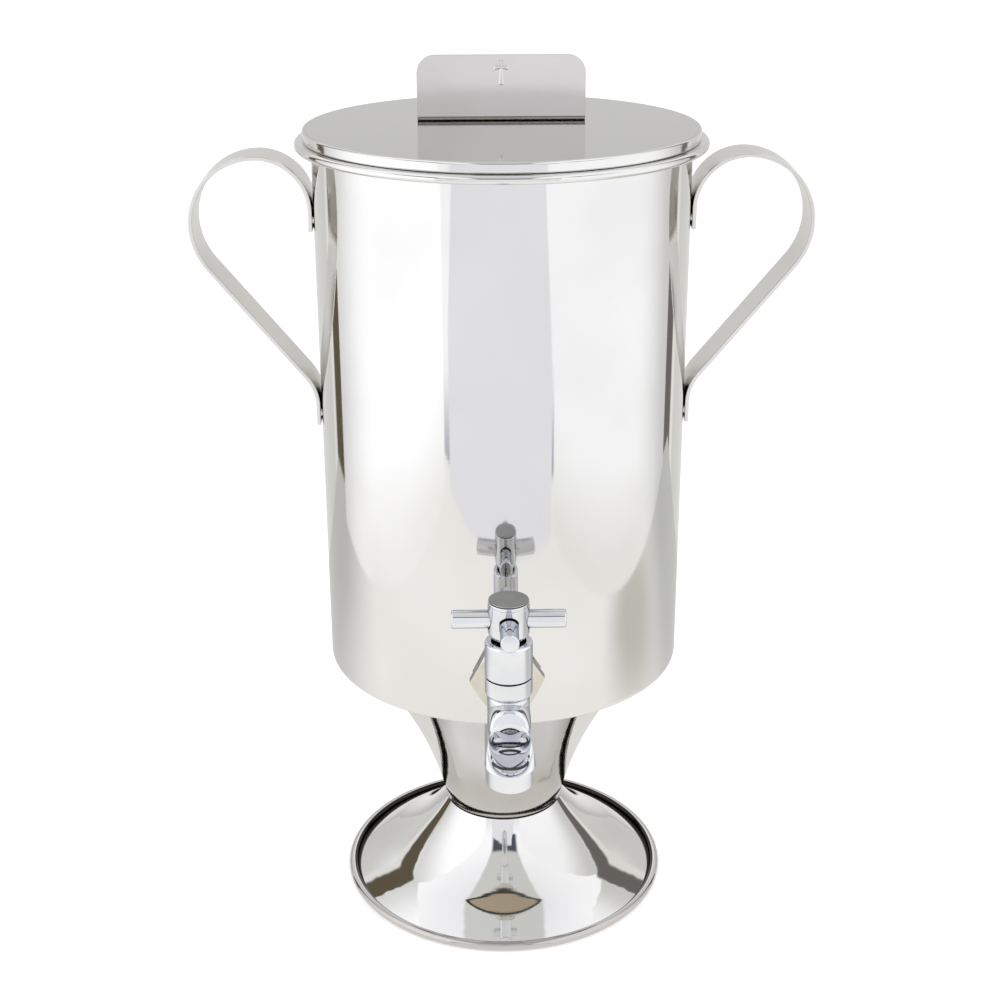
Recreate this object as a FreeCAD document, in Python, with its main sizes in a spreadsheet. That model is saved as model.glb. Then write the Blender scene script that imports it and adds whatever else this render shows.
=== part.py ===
"""Holy water receptacle: a polished steel tank on a spun pedestal, with a lid, two strap handles and a tap.

Millimetres, +Z up. The tank's axis is Z, the foot stands on Z = 0 and the tap points towards -Y.
"""
import FreeCAD, Part
import math
import os
import Sketcher
from enum import IntEnum
from FreeCAD import Placement, Rotation, Vector

SIZES = {
    # Tank: a spun cylinder with an outward rolled rim
    "tank_radius": 93.5,
    "tank_wall": 1.0,
    "tank_height": 277.0,
    "tank_edge_radius": 3.0,
    "rim_reach": 8.0,
    "rim_curl_bore": 1.1,
    "rim_bend_radius": 1.0,
    # Pedestal neck: a straight collar, then a trumpet up to the tank's floor
    "neck_wall": 1.0,
    "neck_bottom": 48.0,
    "neck_height": 91.5,
    "neck_collar": 4.0,
    "neck_waist_radius": 32.6,
    "neck_top_inset": 15.5,
    "neck_curve_radius": 225.0,
    "neck_flange": 9.0,
    # Pedestal foot: a collar inside the neck, a hollow flare that rolls over, and a bead with a flat underside
    "foot_wall": 1.0,
    "foot_collar": 10.0,
    "foot_collar_gap": 0.1,
    "foot_radius": 89.3,
    "foot_curve_radius": 99.0,
    "foot_curve_reach": 84.6,
    "foot_roll_radius": 284.0,
    "foot_crease_rise": 0.81,
    "foot_bead_radius": 2.5,
    "foot_bead_flat": 0.25,
    "foot_bead_crease_angle": 35.0,
    # Strap handles: a path of tangent arcs from the upper tab to the lower tab, measured on the outer face
    "strap_width": 25.0,
    "strap_thickness": 2.0,
    "strap_wall_gap": 0.05,
    "upper_tab_drop": 44.5,
    "upper_tab_length": 10.3,
    "arch_inner_radius": 27.0,
    "arch_outer_radius": 34.0,
    "arch_side_radius": 36.0,
    "strap_slope": 39.2,
    "lower_bend_radius": 23.0,
    "lower_tab_length": 10.5,
    "rivet_radius": 2.0,
    "rivet_gap": 0.03,
    "rivet_edge_distance": 5.5,
    "rivet_head_radius": 4.0,
    "rivet_head_height": 1.6,
    # Lid: a flat cap, a ring that centres it and an upright plate to lift it by
    "lid_inset": 4.0,
    "lid_height": 5.4,
    "lid_wall": 1.0,
    "lid_fold_bore": 0.5,
    "lid_seat_gap": 0.05,
    "ring_gap": 0.8,
    "ring_depth": 15.0,
    "ring_flange": 8.0,
    "plate_width": 83.0,
    "plate_height": 32.0,
    "plate_thickness": 1.5,
    "plate_front": 10.0,
    "plate_foot": 20.0,
    "plate_bend_radius": 1.0,
    "plate_corner_radius": 9.0,
    "plate_rivet_inset": 13.5,
    # Tap body: a shank through the wall, an upright barrel with a collar, a sloping spout and its bell
    "inlet_rise": 29.5,
    "stem_reach": 40.5,
    "shank_radius": 10.2,
    "shank_bore": 3.6,
    "shank_tail": 3.0,
    "shank_hole_gap": 0.3,
    "barrel_radius": 9.85,
    "barrel_wall": 1.85,
    "barrel_drop": 11.2,
    "barrel_edge": 1.5,
    "shoulder_rise": 12.0,
    "shoulder_edge": 0.8,
    "collar_radius": 11.2,
    "collar_height": 8.6,
    "spout_reach": 27.0,
    "spout_radius": 9.0,
    "spout_rise": 12.7,
    "spout_end_rise": 6.2,
    "outlet_bore": 2.0,
    "outlet_roof": 0.2,
    "outlet_sump": 0.6,
    "outlet_pocket_radius": 4.5,
    "bell_radius": 11.95,
    "bell_rim": 3.0,
    "bell_crown": 14.9,
    # Nuts, washers and gaskets where the shank passes the wall
    "thread_gap": 0.05,
    "gasket_width": 5.3,
    "gasket_thickness": 2.0,
    "locknut_wall": 5.8,
    "locknut_height": 6.0,
    "washer_thickness": 1.5,
    "backnut_wall": 4.8,
    "backnut_height": 7.0,
    # Valve: a headwork with two ceramic discs, a quarter turn from shut to open
    "seat_step": 0.1,
    "seat_land": 2.2,
    "seat_gasket_height": 1.0,
    "cartridge_wall": 1.05,
    "cartridge_flange_inset": 2.2,
    "cartridge_flange_height": 0.8,
    "cartridge_thread_height": 5.6,
    "cartridge_nose_step": 1.95,
    "cartridge_nose_height": 4.0,
    "window_width": 7.0,
    "disc_gap": 0.05,
    "disc_height": 2.2,
    "disc_port_radius": 1.9,
    "disc_port_margin": 1.15,
    "spindle_radius": 4.0,
    "tang_height": 3.0,
    "tang_width": 2.8,
    "tang_depth": 0.8,
    "running_gap": 0.05,
    "seal_groove_depth": 0.8,
    "seal_groove_height": 1.0,
    "seal_tube_radius": 0.4,
    "seal_rise": 1.1,
    "seal_pitch": 3.5,
    "circlip_reach": 1.2,
    "circlip_height": 0.8,
    "circlip_groove_depth": 0.6,
    "circlip_opening": 3.0,
    # Bonnet
    "bonnet_height": 17.6,
    "bonnet_wall": 3.0,
    "bonnet_edge": 1.2,
    # Cross handle
    "hub_radius": 9.7,
    "hub_nose_gap": 3.0,
    "hub_nose_depth": 2.5,
    "hub_taper": 7.0,
    "hub_height": 21.0,
    "hub_edge": 0.5,
    "hub_recess_depth": 3.6,
    "hub_web": 0.9,
    "hub_socket_gap": 0.02,
    "spoke_rise": 13.5,
    "spoke_radius": 4.3,
    "spoke_reach": 16.8,
    "spoke_recess": 1.2,
    "spoke_edge": 0.8,
    "spoke_pin_radius": 1.95,
    "spoke_pin_floor": 0.98,
    "screw_radius": 1.95,
    "screw_length": 10.0,
    "screw_head_radius": 3.5,
    "screw_head_gap": 1.1,
    "screw_head_height": 2.3,
    "screw_slot_width": 1.0,
    "screw_slot_depth": 0.9,
    "cap_inset": 0.1,
    "cap_height": 2.5,
    "cap_edge": 0.6,
    "cap_spigot_wall": 1.35,
    "cap_spigot_height": 2.9,
    # Nozzle under the bell
    "nozzle_inset": 1.45,
    "nozzle_height": 9.5,
    "nozzle_thread_wall": 1.0,
    "nozzle_lip_width": 0.8,
    "nozzle_lip": 1.3,
    "nozzle_edge": 0.6,
    "nozzle_thread_step": 1.5,
    "nozzle_thread_height": 2.1,
    "nozzle_washer_height": 0.8,
    "aerator_height": 6.0,
    "aerator_hole_radius": 0.75,
    "aerator_rim": 2.15,
}

SHEET_NAME = "sizes"
NAME_COLUMN = "A"
VALUE_COLUMN = "B"
UPRIGHT = Rotation()
TO_FRONT = Rotation(Vector(1, 0, 0), 90)
TO_TANK = Rotation(Vector(1, 0, 0), -90)
HEAD_UP = Rotation(Vector(1, 0, 0), 180)
HALF_TURN = Rotation(Vector(0, 0, 1), 180)
HEXAGON_HALF_ANGLE = 30
QUARTERS = 4
AERATOR_RINGS = 2
HOLES_PER_RING = 6


class Turn(IntEnum):
    """Which way an arc of an outline turns, and to which side a piece points."""

    LEFT = 1
    RIGHT = -1


class Vertex(IntEnum):
    """The two ends of a line or arc in a sketch."""

    START = 1
    END = 2


class Guide(IntEnum):
    """The sketch's own lines: the one across, which also starts at the origin, and the upright one."""

    ACROSS = -1
    UP = -2


class Size:
    """A length or angle with its present value and the sheet expression that gives it."""

    def __init__(self, value, text):
        self.value = value
        self.text = text

    def combine(self, other, value, sign):
        return Size(value, f"({self.text} {sign} {as_size(other).text})")

    def __add__(self, other):
        return self.combine(other, self.value + as_size(other).value, "+")

    def __sub__(self, other):
        return self.combine(other, self.value - as_size(other).value, "-")

    def __mul__(self, other):
        return self.combine(other, self.value * as_size(other).value, "*")

    def __truediv__(self, other):
        return self.combine(other, self.value / as_size(other).value, "/")

    def __radd__(self, other):
        return as_size(other) + self

    def __rsub__(self, other):
        return as_size(other) - self

    def __rmul__(self, other):
        return as_size(other) * self

    def __neg__(self):
        return Size(-self.value, f"(0 - {self.text})")


RIGHT_ANGLE = Size(90, "90 deg")


def as_size(number):
    """Wrap a plain number, so that sizes and numbers mix."""
    return number if isinstance(number, Size) else Size(number, str(number))


def root(square):
    """The square root of a size."""
    return Size(math.sqrt(square.value), f"sqrt({square.text})")


def sine(angle):
    """The sine of an angle in degrees."""
    return Size(math.sin(math.radians(angle.value)), f"sin({angle.text})")


def cosine(angle):
    """The cosine of an angle in degrees."""
    return Size(math.cos(math.radians(angle.value)), f"cos({angle.text})")


def slope_angle(fall, reach):
    """The angle below level of a line that falls that far over that reach."""
    return Size(math.degrees(math.atan2(fall.value, reach.value)), f"atan({fall.text} / {reach.text})")


class SizeTable:
    """The driving dimensions, read from the sheet by name."""

    def __init__(self, sheet):
        self.sheet = sheet

    def __getattr__(self, name):
        return Size(float(getattr(self.sheet, name)), f"{SHEET_NAME}.{name}")


doc = FreeCAD.newDocument("holy_water_receptacle")
sheet = doc.addObject("Spreadsheet::Sheet", SHEET_NAME)
for row, (name, value) in enumerate(SIZES.items(), start=1):
    sheet.set(f"{NAME_COLUMN}{row}", name)
    sheet.set(f"{VALUE_COLUMN}{row}", str(value))
    sheet.setAlias(f"{VALUE_COLUMN}{row}", name)
doc.recompute()
size = SizeTable(sheet)
parts = []


def keep(shape_object, label):
    """Name a finished sub-part and add it to those that are written out."""
    shape_object.Label = label
    parts.append(shape_object)
    return shape_object


def bind(target, path, amount):
    """Tie a property to the sheet, or set it if it is a plain number."""
    target.setExpression(path, as_size(amount).text)


def place(target, base, turn):
    """Put an object at a base point that follows the sheet, turned by a fixed rotation."""
    point = [as_size(coordinate) for coordinate in base]
    target.Placement = Placement(Vector(*[coordinate.value for coordinate in point]), turn)
    for axis, coordinate in zip("xyz", point):
        bind(target, f"Placement.Base.{axis}", coordinate)


def arc_between(start, end, radius, turn):
    """The shorter arc from start to end, turning to the left or to the right on the way."""
    chord = end - start
    middle = (start + end) * 0.5
    to_left = Vector(-chord.y, chord.x, 0).normalize()
    rise = math.sqrt(max(radius ** 2 - (chord.Length / 2) ** 2, 0.0))
    centre = middle + to_left * (turn * rise)
    first, last = (start, end) if turn == Turn.LEFT else (end, start)
    from_angle = math.atan2(first.y - centre.y, first.x - centre.x)
    to_angle = math.atan2(last.y - centre.y, last.x - centre.x)
    if to_angle <= from_angle:
        to_angle += 2 * math.pi
    return Part.ArcOfCircle(Part.Circle(centre, Vector(0, 0, 1), radius), from_angle, to_angle)


def arc_centre(start, end, radius, turn):
    """The centre of that arc, as sizes."""
    across = end[0] - start[0]
    up = end[1] - start[1]
    chord = root(across * across + up * up)
    rise = root(radius * radius - chord * chord / 4) * turn
    return (start[0] + end[0]) / 2 - rise * up / chord, (start[1] + end[1]) / 2 + rise * across / chord


def circles_meet(first, first_radius, second, second_radius):
    """Where two circles meet, to the right of the way from the first centre to the second, as sizes."""
    across = second[0] - first[0]
    up = second[1] - first[1]
    apart = across * across + up * up
    share = (first_radius * first_radius - second_radius * second_radius + apart) / (2 * apart)
    offset = root(first_radius * first_radius / apart - share * share)
    return first[0] + across * share + up * offset, first[1] + up * share - across * offset


def draw(sketch, corners):
    """Draw a closed outline whose corners, and the radii of its arcs, follow the sheet.

    A corner is (x, y), or (x, y, radius, turn) where an arc leads on to the next corner.
    """
    points = [Vector(as_size(corner[0]).value, as_size(corner[1]).value, 0) for corner in corners]
    ends = []
    for index, corner in enumerate(corners):
        start = points[index]
        end = points[(index + 1) % len(points)]
        if len(corner) == 2:
            sketch.addGeometry(Part.LineSegment(start, end), False)
            ends.append((Vertex.START, Vertex.END))
            continue
        radius, turn = as_size(corner[2]), corner[3]
        sketch.addGeometry(arc_between(start, end, radius.value, turn), False)
        ends.append((Vertex.START, Vertex.END) if turn == Turn.LEFT else (Vertex.END, Vertex.START))
    for index in range(len(corners)):
        following = (index + 1) % len(corners)
        joint = Sketcher.Constraint("Coincident", index, ends[index][1], following, ends[following][0])
        sketch.addConstraint(joint)
    for index, corner in enumerate(corners):
        vertex = (index, ends[index][0])
        across = ("DistanceX", Guide.UP, corner[0])
        upwards = ("DistanceY", Guide.ACROSS, corner[1])
        for kind, axis, amount in (across, upwards):
            if not isinstance(amount, Size):
                sketch.addConstraint(Sketcher.Constraint("PointOnObject", *vertex, axis))
                continue
            origin = (Guide.ACROSS, Vertex.START)
            number = sketch.addConstraint(Sketcher.Constraint(kind, *origin, *vertex, amount.value))
            bind(sketch, f"Constraints[{number}]", amount)
        if len(corner) > 2:
            number = sketch.addConstraint(Sketcher.Constraint("Radius", index, as_size(corner[2]).value))
            bind(sketch, f"Constraints[{number}]", corner[2])


def new_sketch(body, plane):
    sketch = body.newObject("Sketcher::SketchObject", "outline")
    support = [feature for feature in body.Origin.OriginFeatures if feature.Role == plane][0]
    sketch.AttachmentSupport = [(support, "")]
    sketch.MapMode = "FlatFace"
    return sketch


def turned(name, corners, base=(0, 0, 0), turn=UPRIGHT):
    """A turned or spun piece: an outline of (radius, height) revolved about its upright axis."""
    body = doc.addObject("PartDesign::Body", name)
    sketch = new_sketch(body, "XZ_Plane")
    draw(sketch, corners)
    doc.recompute()
    revolution = body.newObject("PartDesign::Revolution", "revolution")
    revolution.Profile = sketch
    revolution.ReferenceAxis = (sketch, ["V_Axis"])
    revolution.Angle = 360
    place(body, base, turn)
    doc.recompute()
    return body


def extruded(name, plane, corners, length, base=(0, 0, 0), turn=UPRIGHT):
    """A piece of constant section: an outline padded to both sides of its plane."""
    body = doc.addObject("PartDesign::Body", name)
    sketch = new_sketch(body, plane)
    draw(sketch, corners)
    doc.recompute()
    pad = body.newObject("PartDesign::Pad", "pad")
    pad.Profile = sketch
    pad.Midplane = True
    bind(pad, "Length", length)
    place(body, base, turn)
    doc.recompute()
    return body


def bar(name, radius, length, base, turn=UPRIGHT):
    """A round bar from its base along its own upright axis."""
    cylinder = doc.addObject("Part::Cylinder", name)
    bind(cylinder, "Radius", radius)
    bind(cylinder, "Height", length)
    place(cylinder, base, turn)
    return cylinder


def block(name, lengths, base):
    """A box from its lowest corner."""
    box = doc.addObject("Part::Box", name)
    for path, length in zip(("Length", "Width", "Height"), lengths):
        bind(box, path, length)
    place(box, base, UPRIGHT)
    return box


def fuse(name, shapes):
    joined = doc.addObject("Part::MultiFuse", name)
    joined.Shapes = shapes
    doc.recompute()
    return joined


def cut(name, base, tools):
    result = doc.addObject("Part::Cut", name)
    result.Base = base
    result.Tool = tools[0] if len(tools) == 1 else fuse(f"{name}_tools", tools)
    doc.recompute()
    return result


def common(name, first, second):
    result = doc.addObject("Part::Common", name)
    result.Base = first
    result.Tool = second
    doc.recompute()
    return result


def group(name, solids):
    """Identical loose pieces that share one node."""
    compound = doc.addObject("Part::Compound", name)
    compound.Links = solids
    doc.recompute()
    return compound


def ring(name, outer, inner, bottom, height, base=(0, 0, 0), turn=UPRIGHT):
    """A plain washer on its own upright axis."""
    top = bottom + height
    return turned(name, [(inner, bottom), (outer, bottom), (outer, top), (inner, top)], base, turn)


# Pedestal, tank and lid, from the ground up
foot_crease_height = size.foot_wall + size.foot_crease_rise
neck_top_radius = size.tank_radius - size.neck_top_inset
tank_floor = size.neck_bottom + size.neck_height
tank_inside = size.tank_radius - size.tank_wall
rim_height = tank_floor + size.tank_height
rim_curl_radius = size.rim_curl_bore + size.tank_wall
lid_radius = size.tank_radius + size.rim_reach - size.lid_inset
lid_edge_radius = size.lid_fold_bore + size.lid_wall
lid_top = rim_height + size.lid_height
lid_underside = lid_top - size.lid_wall


# Tap: axes and heights
stem = (0, -(size.tank_radius + size.stem_reach), 0)
nozzle_axis = (0, -(size.tank_radius + size.stem_reach + size.spout_reach), 0)
inlet_height = tank_floor + size.inlet_rise
inlet = (0, 0, inlet_height)
barrel_bottom = inlet_height - size.barrel_drop
shoulder_height = inlet_height + size.shoulder_rise
tap_top = shoulder_height + size.collar_height
bonnet_bottom = tap_top + size.cartridge_flange_height
bonnet_top = bonnet_bottom + size.bonnet_height
hub_bottom = bonnet_top - size.hub_nose_depth
hub_top = hub_bottom + size.hub_height
spindle_top = hub_top - size.hub_recess_depth - size.hub_web
spoke_height = hub_bottom + size.spoke_rise
nozzle_socket_height = size.nozzle_thread_height + size.nozzle_washer_height


# Valve: radii that nest in one another, and its seat just under the inlet's bore
cartridge_way = size.barrel_radius - size.barrel_wall
cartridge_radius = cartridge_way - size.thread_gap
cartridge_flange_radius = size.collar_radius - size.cartridge_flange_inset
seat_bore = cartridge_way - size.seat_land
seat_height = inlet_height - size.shank_bore - size.seat_step
outlet_height = seat_height - size.outlet_roof - size.outlet_bore
bonnet_bore = size.collar_radius - size.bonnet_wall
cartridge_thread_radius = bonnet_bore - size.thread_gap
cartridge_nose_radius = cartridge_thread_radius - size.cartridge_nose_step
chamber_radius = cartridge_radius - size.cartridge_wall
disc_radius = chamber_radius - size.running_gap
disc_port_offset = disc_radius - size.disc_port_margin - size.disc_port_radius
circlip_radius = size.spindle_radius + size.circlip_reach
seal_first = bonnet_bottom + size.seal_rise


# Valve heights, from its seat up
seat_gasket_top = seat_height + size.seat_gasket_height
moving_disc_bottom = seat_gasket_top + size.disc_height + size.disc_gap
moving_disc_top = moving_disc_bottom + size.disc_height
tang_top = moving_disc_top + size.tang_height
headwork_thread_top = bonnet_bottom + size.cartridge_thread_height
headwork_top = headwork_thread_top + size.cartridge_nose_height


# Cross handle and nozzle: radii that nest in one another
spindle_socket = size.spindle_radius + size.hub_socket_gap
hub_nose_radius = bonnet_bore - size.hub_nose_gap
cap_spigot_bore = size.screw_head_radius + size.screw_head_gap
cap_spigot_radius = cap_spigot_bore + size.cap_spigot_wall
hub_recess_radius = cap_spigot_radius + size.thread_gap
cap_radius = size.hub_radius - size.cap_inset
spoke_seat = size.hub_radius - size.spoke_recess
spoke_tip = size.hub_radius + size.spoke_reach
spoke_pin_start = spindle_socket + size.spoke_pin_floor
nozzle_radius = size.bell_radius - size.nozzle_inset
nozzle_thread_radius = nozzle_radius - size.nozzle_thread_step
nozzle_bore = nozzle_thread_radius - size.nozzle_thread_wall
nozzle_lip_bore = nozzle_bore - size.nozzle_lip_width


# Inlet line, from the tank's axis outwards
wall_outside = size.tank_radius
locknut_face = wall_outside + size.gasket_thickness
inner_gasket_face = tank_inside - size.gasket_thickness
backnut_face = inner_gasket_face - size.washer_thickness
shank_end = backnut_face - size.backnut_height - size.shank_tail
shank_hole = size.shank_radius + size.shank_hole_gap
nut_bore = size.shank_radius + size.thread_gap
gasket_radius = size.shank_radius + size.gasket_width
locknut_width = (size.shank_radius + size.locknut_wall) * 2
backnut_width = (size.shank_radius + size.backnut_wall) * 2


# Handle path: centres and heights of its bends, shared with the rivets
strap_back = size.tank_radius + size.strap_wall_gap
strap_front = strap_back + size.strap_thickness
upper_tab_height = rim_height - size.upper_tab_drop
arch_start = upper_tab_height + size.upper_tab_length
arch_centre = strap_back + size.arch_inner_radius
side_height = arch_start + size.arch_inner_radius - size.arch_outer_radius
side_centre = arch_centre + size.arch_outer_radius - size.arch_side_radius
slope_sine = sine(size.strap_slope)
slope_cosine = cosine(size.strap_slope)
lower_bend_centre = strap_front + size.lower_bend_radius
slope_start = side_centre + size.arch_side_radius * slope_cosine
slope_end = lower_bend_centre - size.lower_bend_radius * slope_cosine
slope_fall = (slope_start - slope_end) * slope_cosine / slope_sine
lower_bend_height = side_height - (size.arch_side_radius + size.lower_bend_radius) * slope_sine - slope_fall
lower_tab_height = lower_bend_height - size.lower_tab_length
upper_rivet_height = upper_tab_height + size.upper_tab_length / 2
lower_rivet_height = lower_tab_height + size.lower_tab_length / 2
rivet_offset = size.strap_width / 2 - size.rivet_edge_distance
rivet_places = [
    (side, rivet_offset * across, height)
    for side in (Turn.RIGHT, Turn.LEFT)
    for height in (upper_rivet_height, lower_rivet_height)
    for across in (-1, 1)
]


def outwards(side):
    """The rotation that points a piece's own axis to one side of the tank."""
    return Rotation(Vector(0, 1, 0), 90 * side)


def rivet_holes(name):
    """Drills for all eight handle rivets, through strap and wall."""
    spare = size.rivet_head_height
    start = tank_inside - spare
    length = strap_front - start + spare
    radius = size.rivet_radius + size.rivet_gap
    return [
        bar(f"{name}_drill", radius, length, (start * side, across, height), outwards(side))
        for side, across, height in rivet_places
    ]


def make_tank():
    """Floor, wall, and a rim that bends outwards and rolls under."""
    wall = size.tank_wall
    edge = size.tank_edge_radius
    floor = tank_floor
    top = rim_height
    radius = size.tank_radius
    bend = size.rim_bend_radius
    curl = rim_curl_radius
    curl_centre = radius + size.rim_reach - curl
    turned_tank = turned("tank_spinning", [
        (0, floor),
        (radius - edge, floor, edge, Turn.LEFT),
        (radius, floor + edge),
        (radius, top - wall - bend, bend, Turn.RIGHT),
        (radius + bend, top - wall),
        (curl_centre, top - wall, curl - wall, Turn.RIGHT),
        (curl_centre + curl - wall, top - curl, curl - wall, Turn.RIGHT),
        (curl_centre, top - curl * 2 + wall),
        (curl_centre, top - curl * 2, curl, Turn.LEFT),
        (curl_centre + curl, top - curl, curl, Turn.LEFT),
        (curl_centre, top),
        (radius + bend, top, bend + wall, Turn.LEFT),
        (radius - wall, top - wall - bend),
        (radius - wall, floor + edge, edge - wall, Turn.RIGHT),
        (radius - edge, floor + wall),
        (0, floor + wall),
    ])
    tap_drill = bar("tap_hole", shank_hole, size.tank_radius * 2, inlet, TO_FRONT)
    keep(cut("tank_cut", turned_tank, [tap_drill] + rivet_holes("tank")), "tank_shell")


def make_neck():
    """A collar over the foot, a trumpet, and a flange against the tank's floor."""
    wall = size.neck_wall
    bottom = size.neck_bottom
    waist = size.neck_waist_radius
    top = tank_floor
    waist_height = bottom + size.neck_collar
    radius = size.neck_curve_radius
    centre = arc_centre((waist, waist_height), (neck_top_radius, top), radius, Turn.RIGHT)

    def inner_radius(height):
        rise = height - centre[1]
        return centre[0] - root((radius + wall) * (radius + wall) - rise * rise)

    keep(turned("neck_spinning", [
        (waist - wall, bottom),
        (waist, bottom),
        (waist, waist_height, radius, Turn.RIGHT),
        (neck_top_radius, top),
        (neck_top_radius - size.neck_flange, top),
        (neck_top_radius - size.neck_flange, top - wall),
        (inner_radius(top - wall), top - wall, radius + wall, Turn.LEFT),
        (inner_radius(waist_height), waist_height),
    ]), "pedestal_neck")


def make_foot():
    """A collar inside the neck, a hollow flare that rolls over, and a bead dressed flat underneath."""
    wall = size.foot_wall
    collar = size.neck_waist_radius - size.neck_wall - size.foot_collar_gap
    waist_height = size.neck_bottom
    top = waist_height + size.foot_collar
    bead = size.foot_bead_radius
    bead_centre = size.foot_radius - bead
    bead_height = bead - size.foot_bead_flat
    flat_half = root(bead * bead - bead_height * bead_height)
    crease = bead_centre - bead * cosine(size.foot_bead_crease_angle)
    curve = size.foot_curve_radius
    reach = size.foot_curve_reach
    roll = size.foot_roll_radius
    hollow = (collar + reach, waist_height + root(curve * curve - reach * reach))
    crown = circles_meet(hollow, curve + roll, (crease, foot_crease_height), roll)
    sway = ((crown[0] - hollow[0]) / (curve + roll), (crown[1] - hollow[1]) / (curve + roll))
    under = curve + wall
    under_reach = reach + wall
    under_roll = roll - wall
    crease_reach = crease - crown[0]
    keep(turned("foot_spinning", [
        (collar - wall, top),
        (collar - wall, hollow[1] - root(under * under - under_reach * under_reach), under, Turn.LEFT),
        (hollow[0] + sway[0] * under, hollow[1] + sway[1] * under, under_roll, Turn.RIGHT),
        (crease, crown[1] + root(under_roll * under_roll - crease_reach * crease_reach)),
        (crease, 0),
        (bead_centre + flat_half, 0, bead, Turn.LEFT),
        (bead_centre + bead, bead_height, bead, Turn.LEFT),
        (bead_centre, bead_height + bead, bead, Turn.LEFT),
        (crease, bead_height + bead * sine(size.foot_bead_crease_angle)),
        (crease, foot_crease_height, roll, Turn.LEFT),
        (hollow[0] + sway[0] * curve, hollow[1] + sway[1] * curve, curve, Turn.RIGHT),
        (collar, waist_height),
        (collar, top),
    ]), "pedestal_foot")


def make_handle(label, turn):
    """A flat strap bent into an ear, its two tabs flat on the wall."""
    thick = size.strap_thickness
    inner_arch = size.arch_inner_radius
    outer_arch = size.arch_outer_radius
    side = size.arch_side_radius
    lower = size.lower_bend_radius
    apex = arch_start + inner_arch
    slope_top = side_height - side * slope_sine
    slope_foot = lower_bend_height + lower * slope_sine
    strap = extruded("strap", "XZ_Plane", [
        (strap_back, upper_tab_height),
        (strap_front, upper_tab_height),
        (strap_front, arch_start, inner_arch - thick, Turn.RIGHT),
        (arch_centre, apex - thick, outer_arch - thick, Turn.RIGHT),
        (arch_centre + outer_arch - thick, side_height, side - thick, Turn.RIGHT),
        (slope_start - thick * slope_cosine, slope_top + thick * slope_sine),
        (slope_end - thick * slope_cosine, slope_foot + thick * slope_sine, lower + thick, Turn.LEFT),
        (strap_back, lower_bend_height),
        (strap_back, lower_tab_height),
        (strap_front, lower_tab_height),
        (strap_front, lower_bend_height, lower, Turn.RIGHT),
        (slope_end, slope_foot),
        (slope_start, slope_top, side, Turn.LEFT),
        (arch_centre + outer_arch, side_height, outer_arch, Turn.LEFT),
        (arch_centre, apex, inner_arch, Turn.LEFT),
        (strap_back, arch_start),
    ], size.strap_width, turn=turn)
    keep(cut("strap_cut", strap, rivet_holes("strap")), label)


def domed_rivet(name, grip_start, grip_end, base, turn):
    """A rivet along its own axis: a dome below the grip, and a shank up to the end of the grip."""
    head = size.rivet_head_radius
    shank = size.rivet_radius
    height = size.rivet_head_height
    dome = (head * head + height * height) / (height * 2)
    return turned(name, [
        (0, grip_start - height, dome, Turn.LEFT),
        (head, grip_start),
        (shank, grip_start),
        (shank, grip_end),
        (0, grip_end),
    ], base, turn)


def make_handle_rivets():
    """Eight rivets: domes inside the tank, shanks flush with the outside of the straps."""
    reach = rivet_offset + size.rivet_head_radius
    head_face = root(tank_inside * tank_inside - reach * reach)
    rivets = [
        domed_rivet("handle_rivet", head_face, strap_front, (0, across, height), outwards(side))
        for side, across, height in rivet_places
    ]
    keep(group("handle_rivet_set", rivets), "handle_rivets")


def make_lid():
    """The cap, its centring ring, and the plate with its rivets."""
    wall = size.lid_wall
    edge = lid_edge_radius
    radius = lid_radius
    seat = rim_height + size.lid_seat_gap
    rivet_y = size.plate_front + size.plate_foot / 2 + size.plate_thickness
    rivet_x = size.plate_width / 2 - size.plate_rivet_inset
    rivet_points = [(rivet_x * side, rivet_y, 0) for side in (-1, 1)]
    plate_step = lid_top + size.plate_thickness
    drill_start = lid_underside - size.rivet_head_height
    drill_length = plate_step - drill_start + size.rivet_head_height

    def rivet_drills():
        return [
            bar("plate_rivet_drill", size.rivet_radius + size.rivet_gap, drill_length, (x, y, drill_start))
            for x, y, _ in rivet_points
        ]

    cap = turned("lid_spinning", [
        (0, lid_underside),
        (radius - edge, lid_underside, edge - wall, Turn.RIGHT),
        (radius - wall, lid_top - edge),
        (radius - wall, seat),
        (radius, seat),
        (radius, lid_top - edge, edge, Turn.LEFT),
        (radius - edge, lid_top),
        (0, lid_top),
    ])
    keep(cut("lid_cut", cap, rivet_drills()), "lid_cap")

    outside = tank_inside - size.ring_gap
    keep(turned("locating_ring", [
        (outside - size.ring_flange, lid_underside - wall),
        (outside - wall, lid_underside - wall),
        (outside - wall, lid_underside - size.ring_depth),
        (outside, lid_underside - size.ring_depth),
        (outside, lid_underside),
        (outside - size.ring_flange, lid_underside),
    ]), "lid_locating_ring")

    keep(make_plate(rivet_drills()), "lid_plate")
    rivets = [
        domed_rivet("plate_rivet", -plate_step, -(lid_underside - size.rivet_head_height), point, HEAD_UP)
        for point in rivet_points
    ]
    keep(group("plate_rivet_set", rivets), "lid_plate_rivets")


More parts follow.
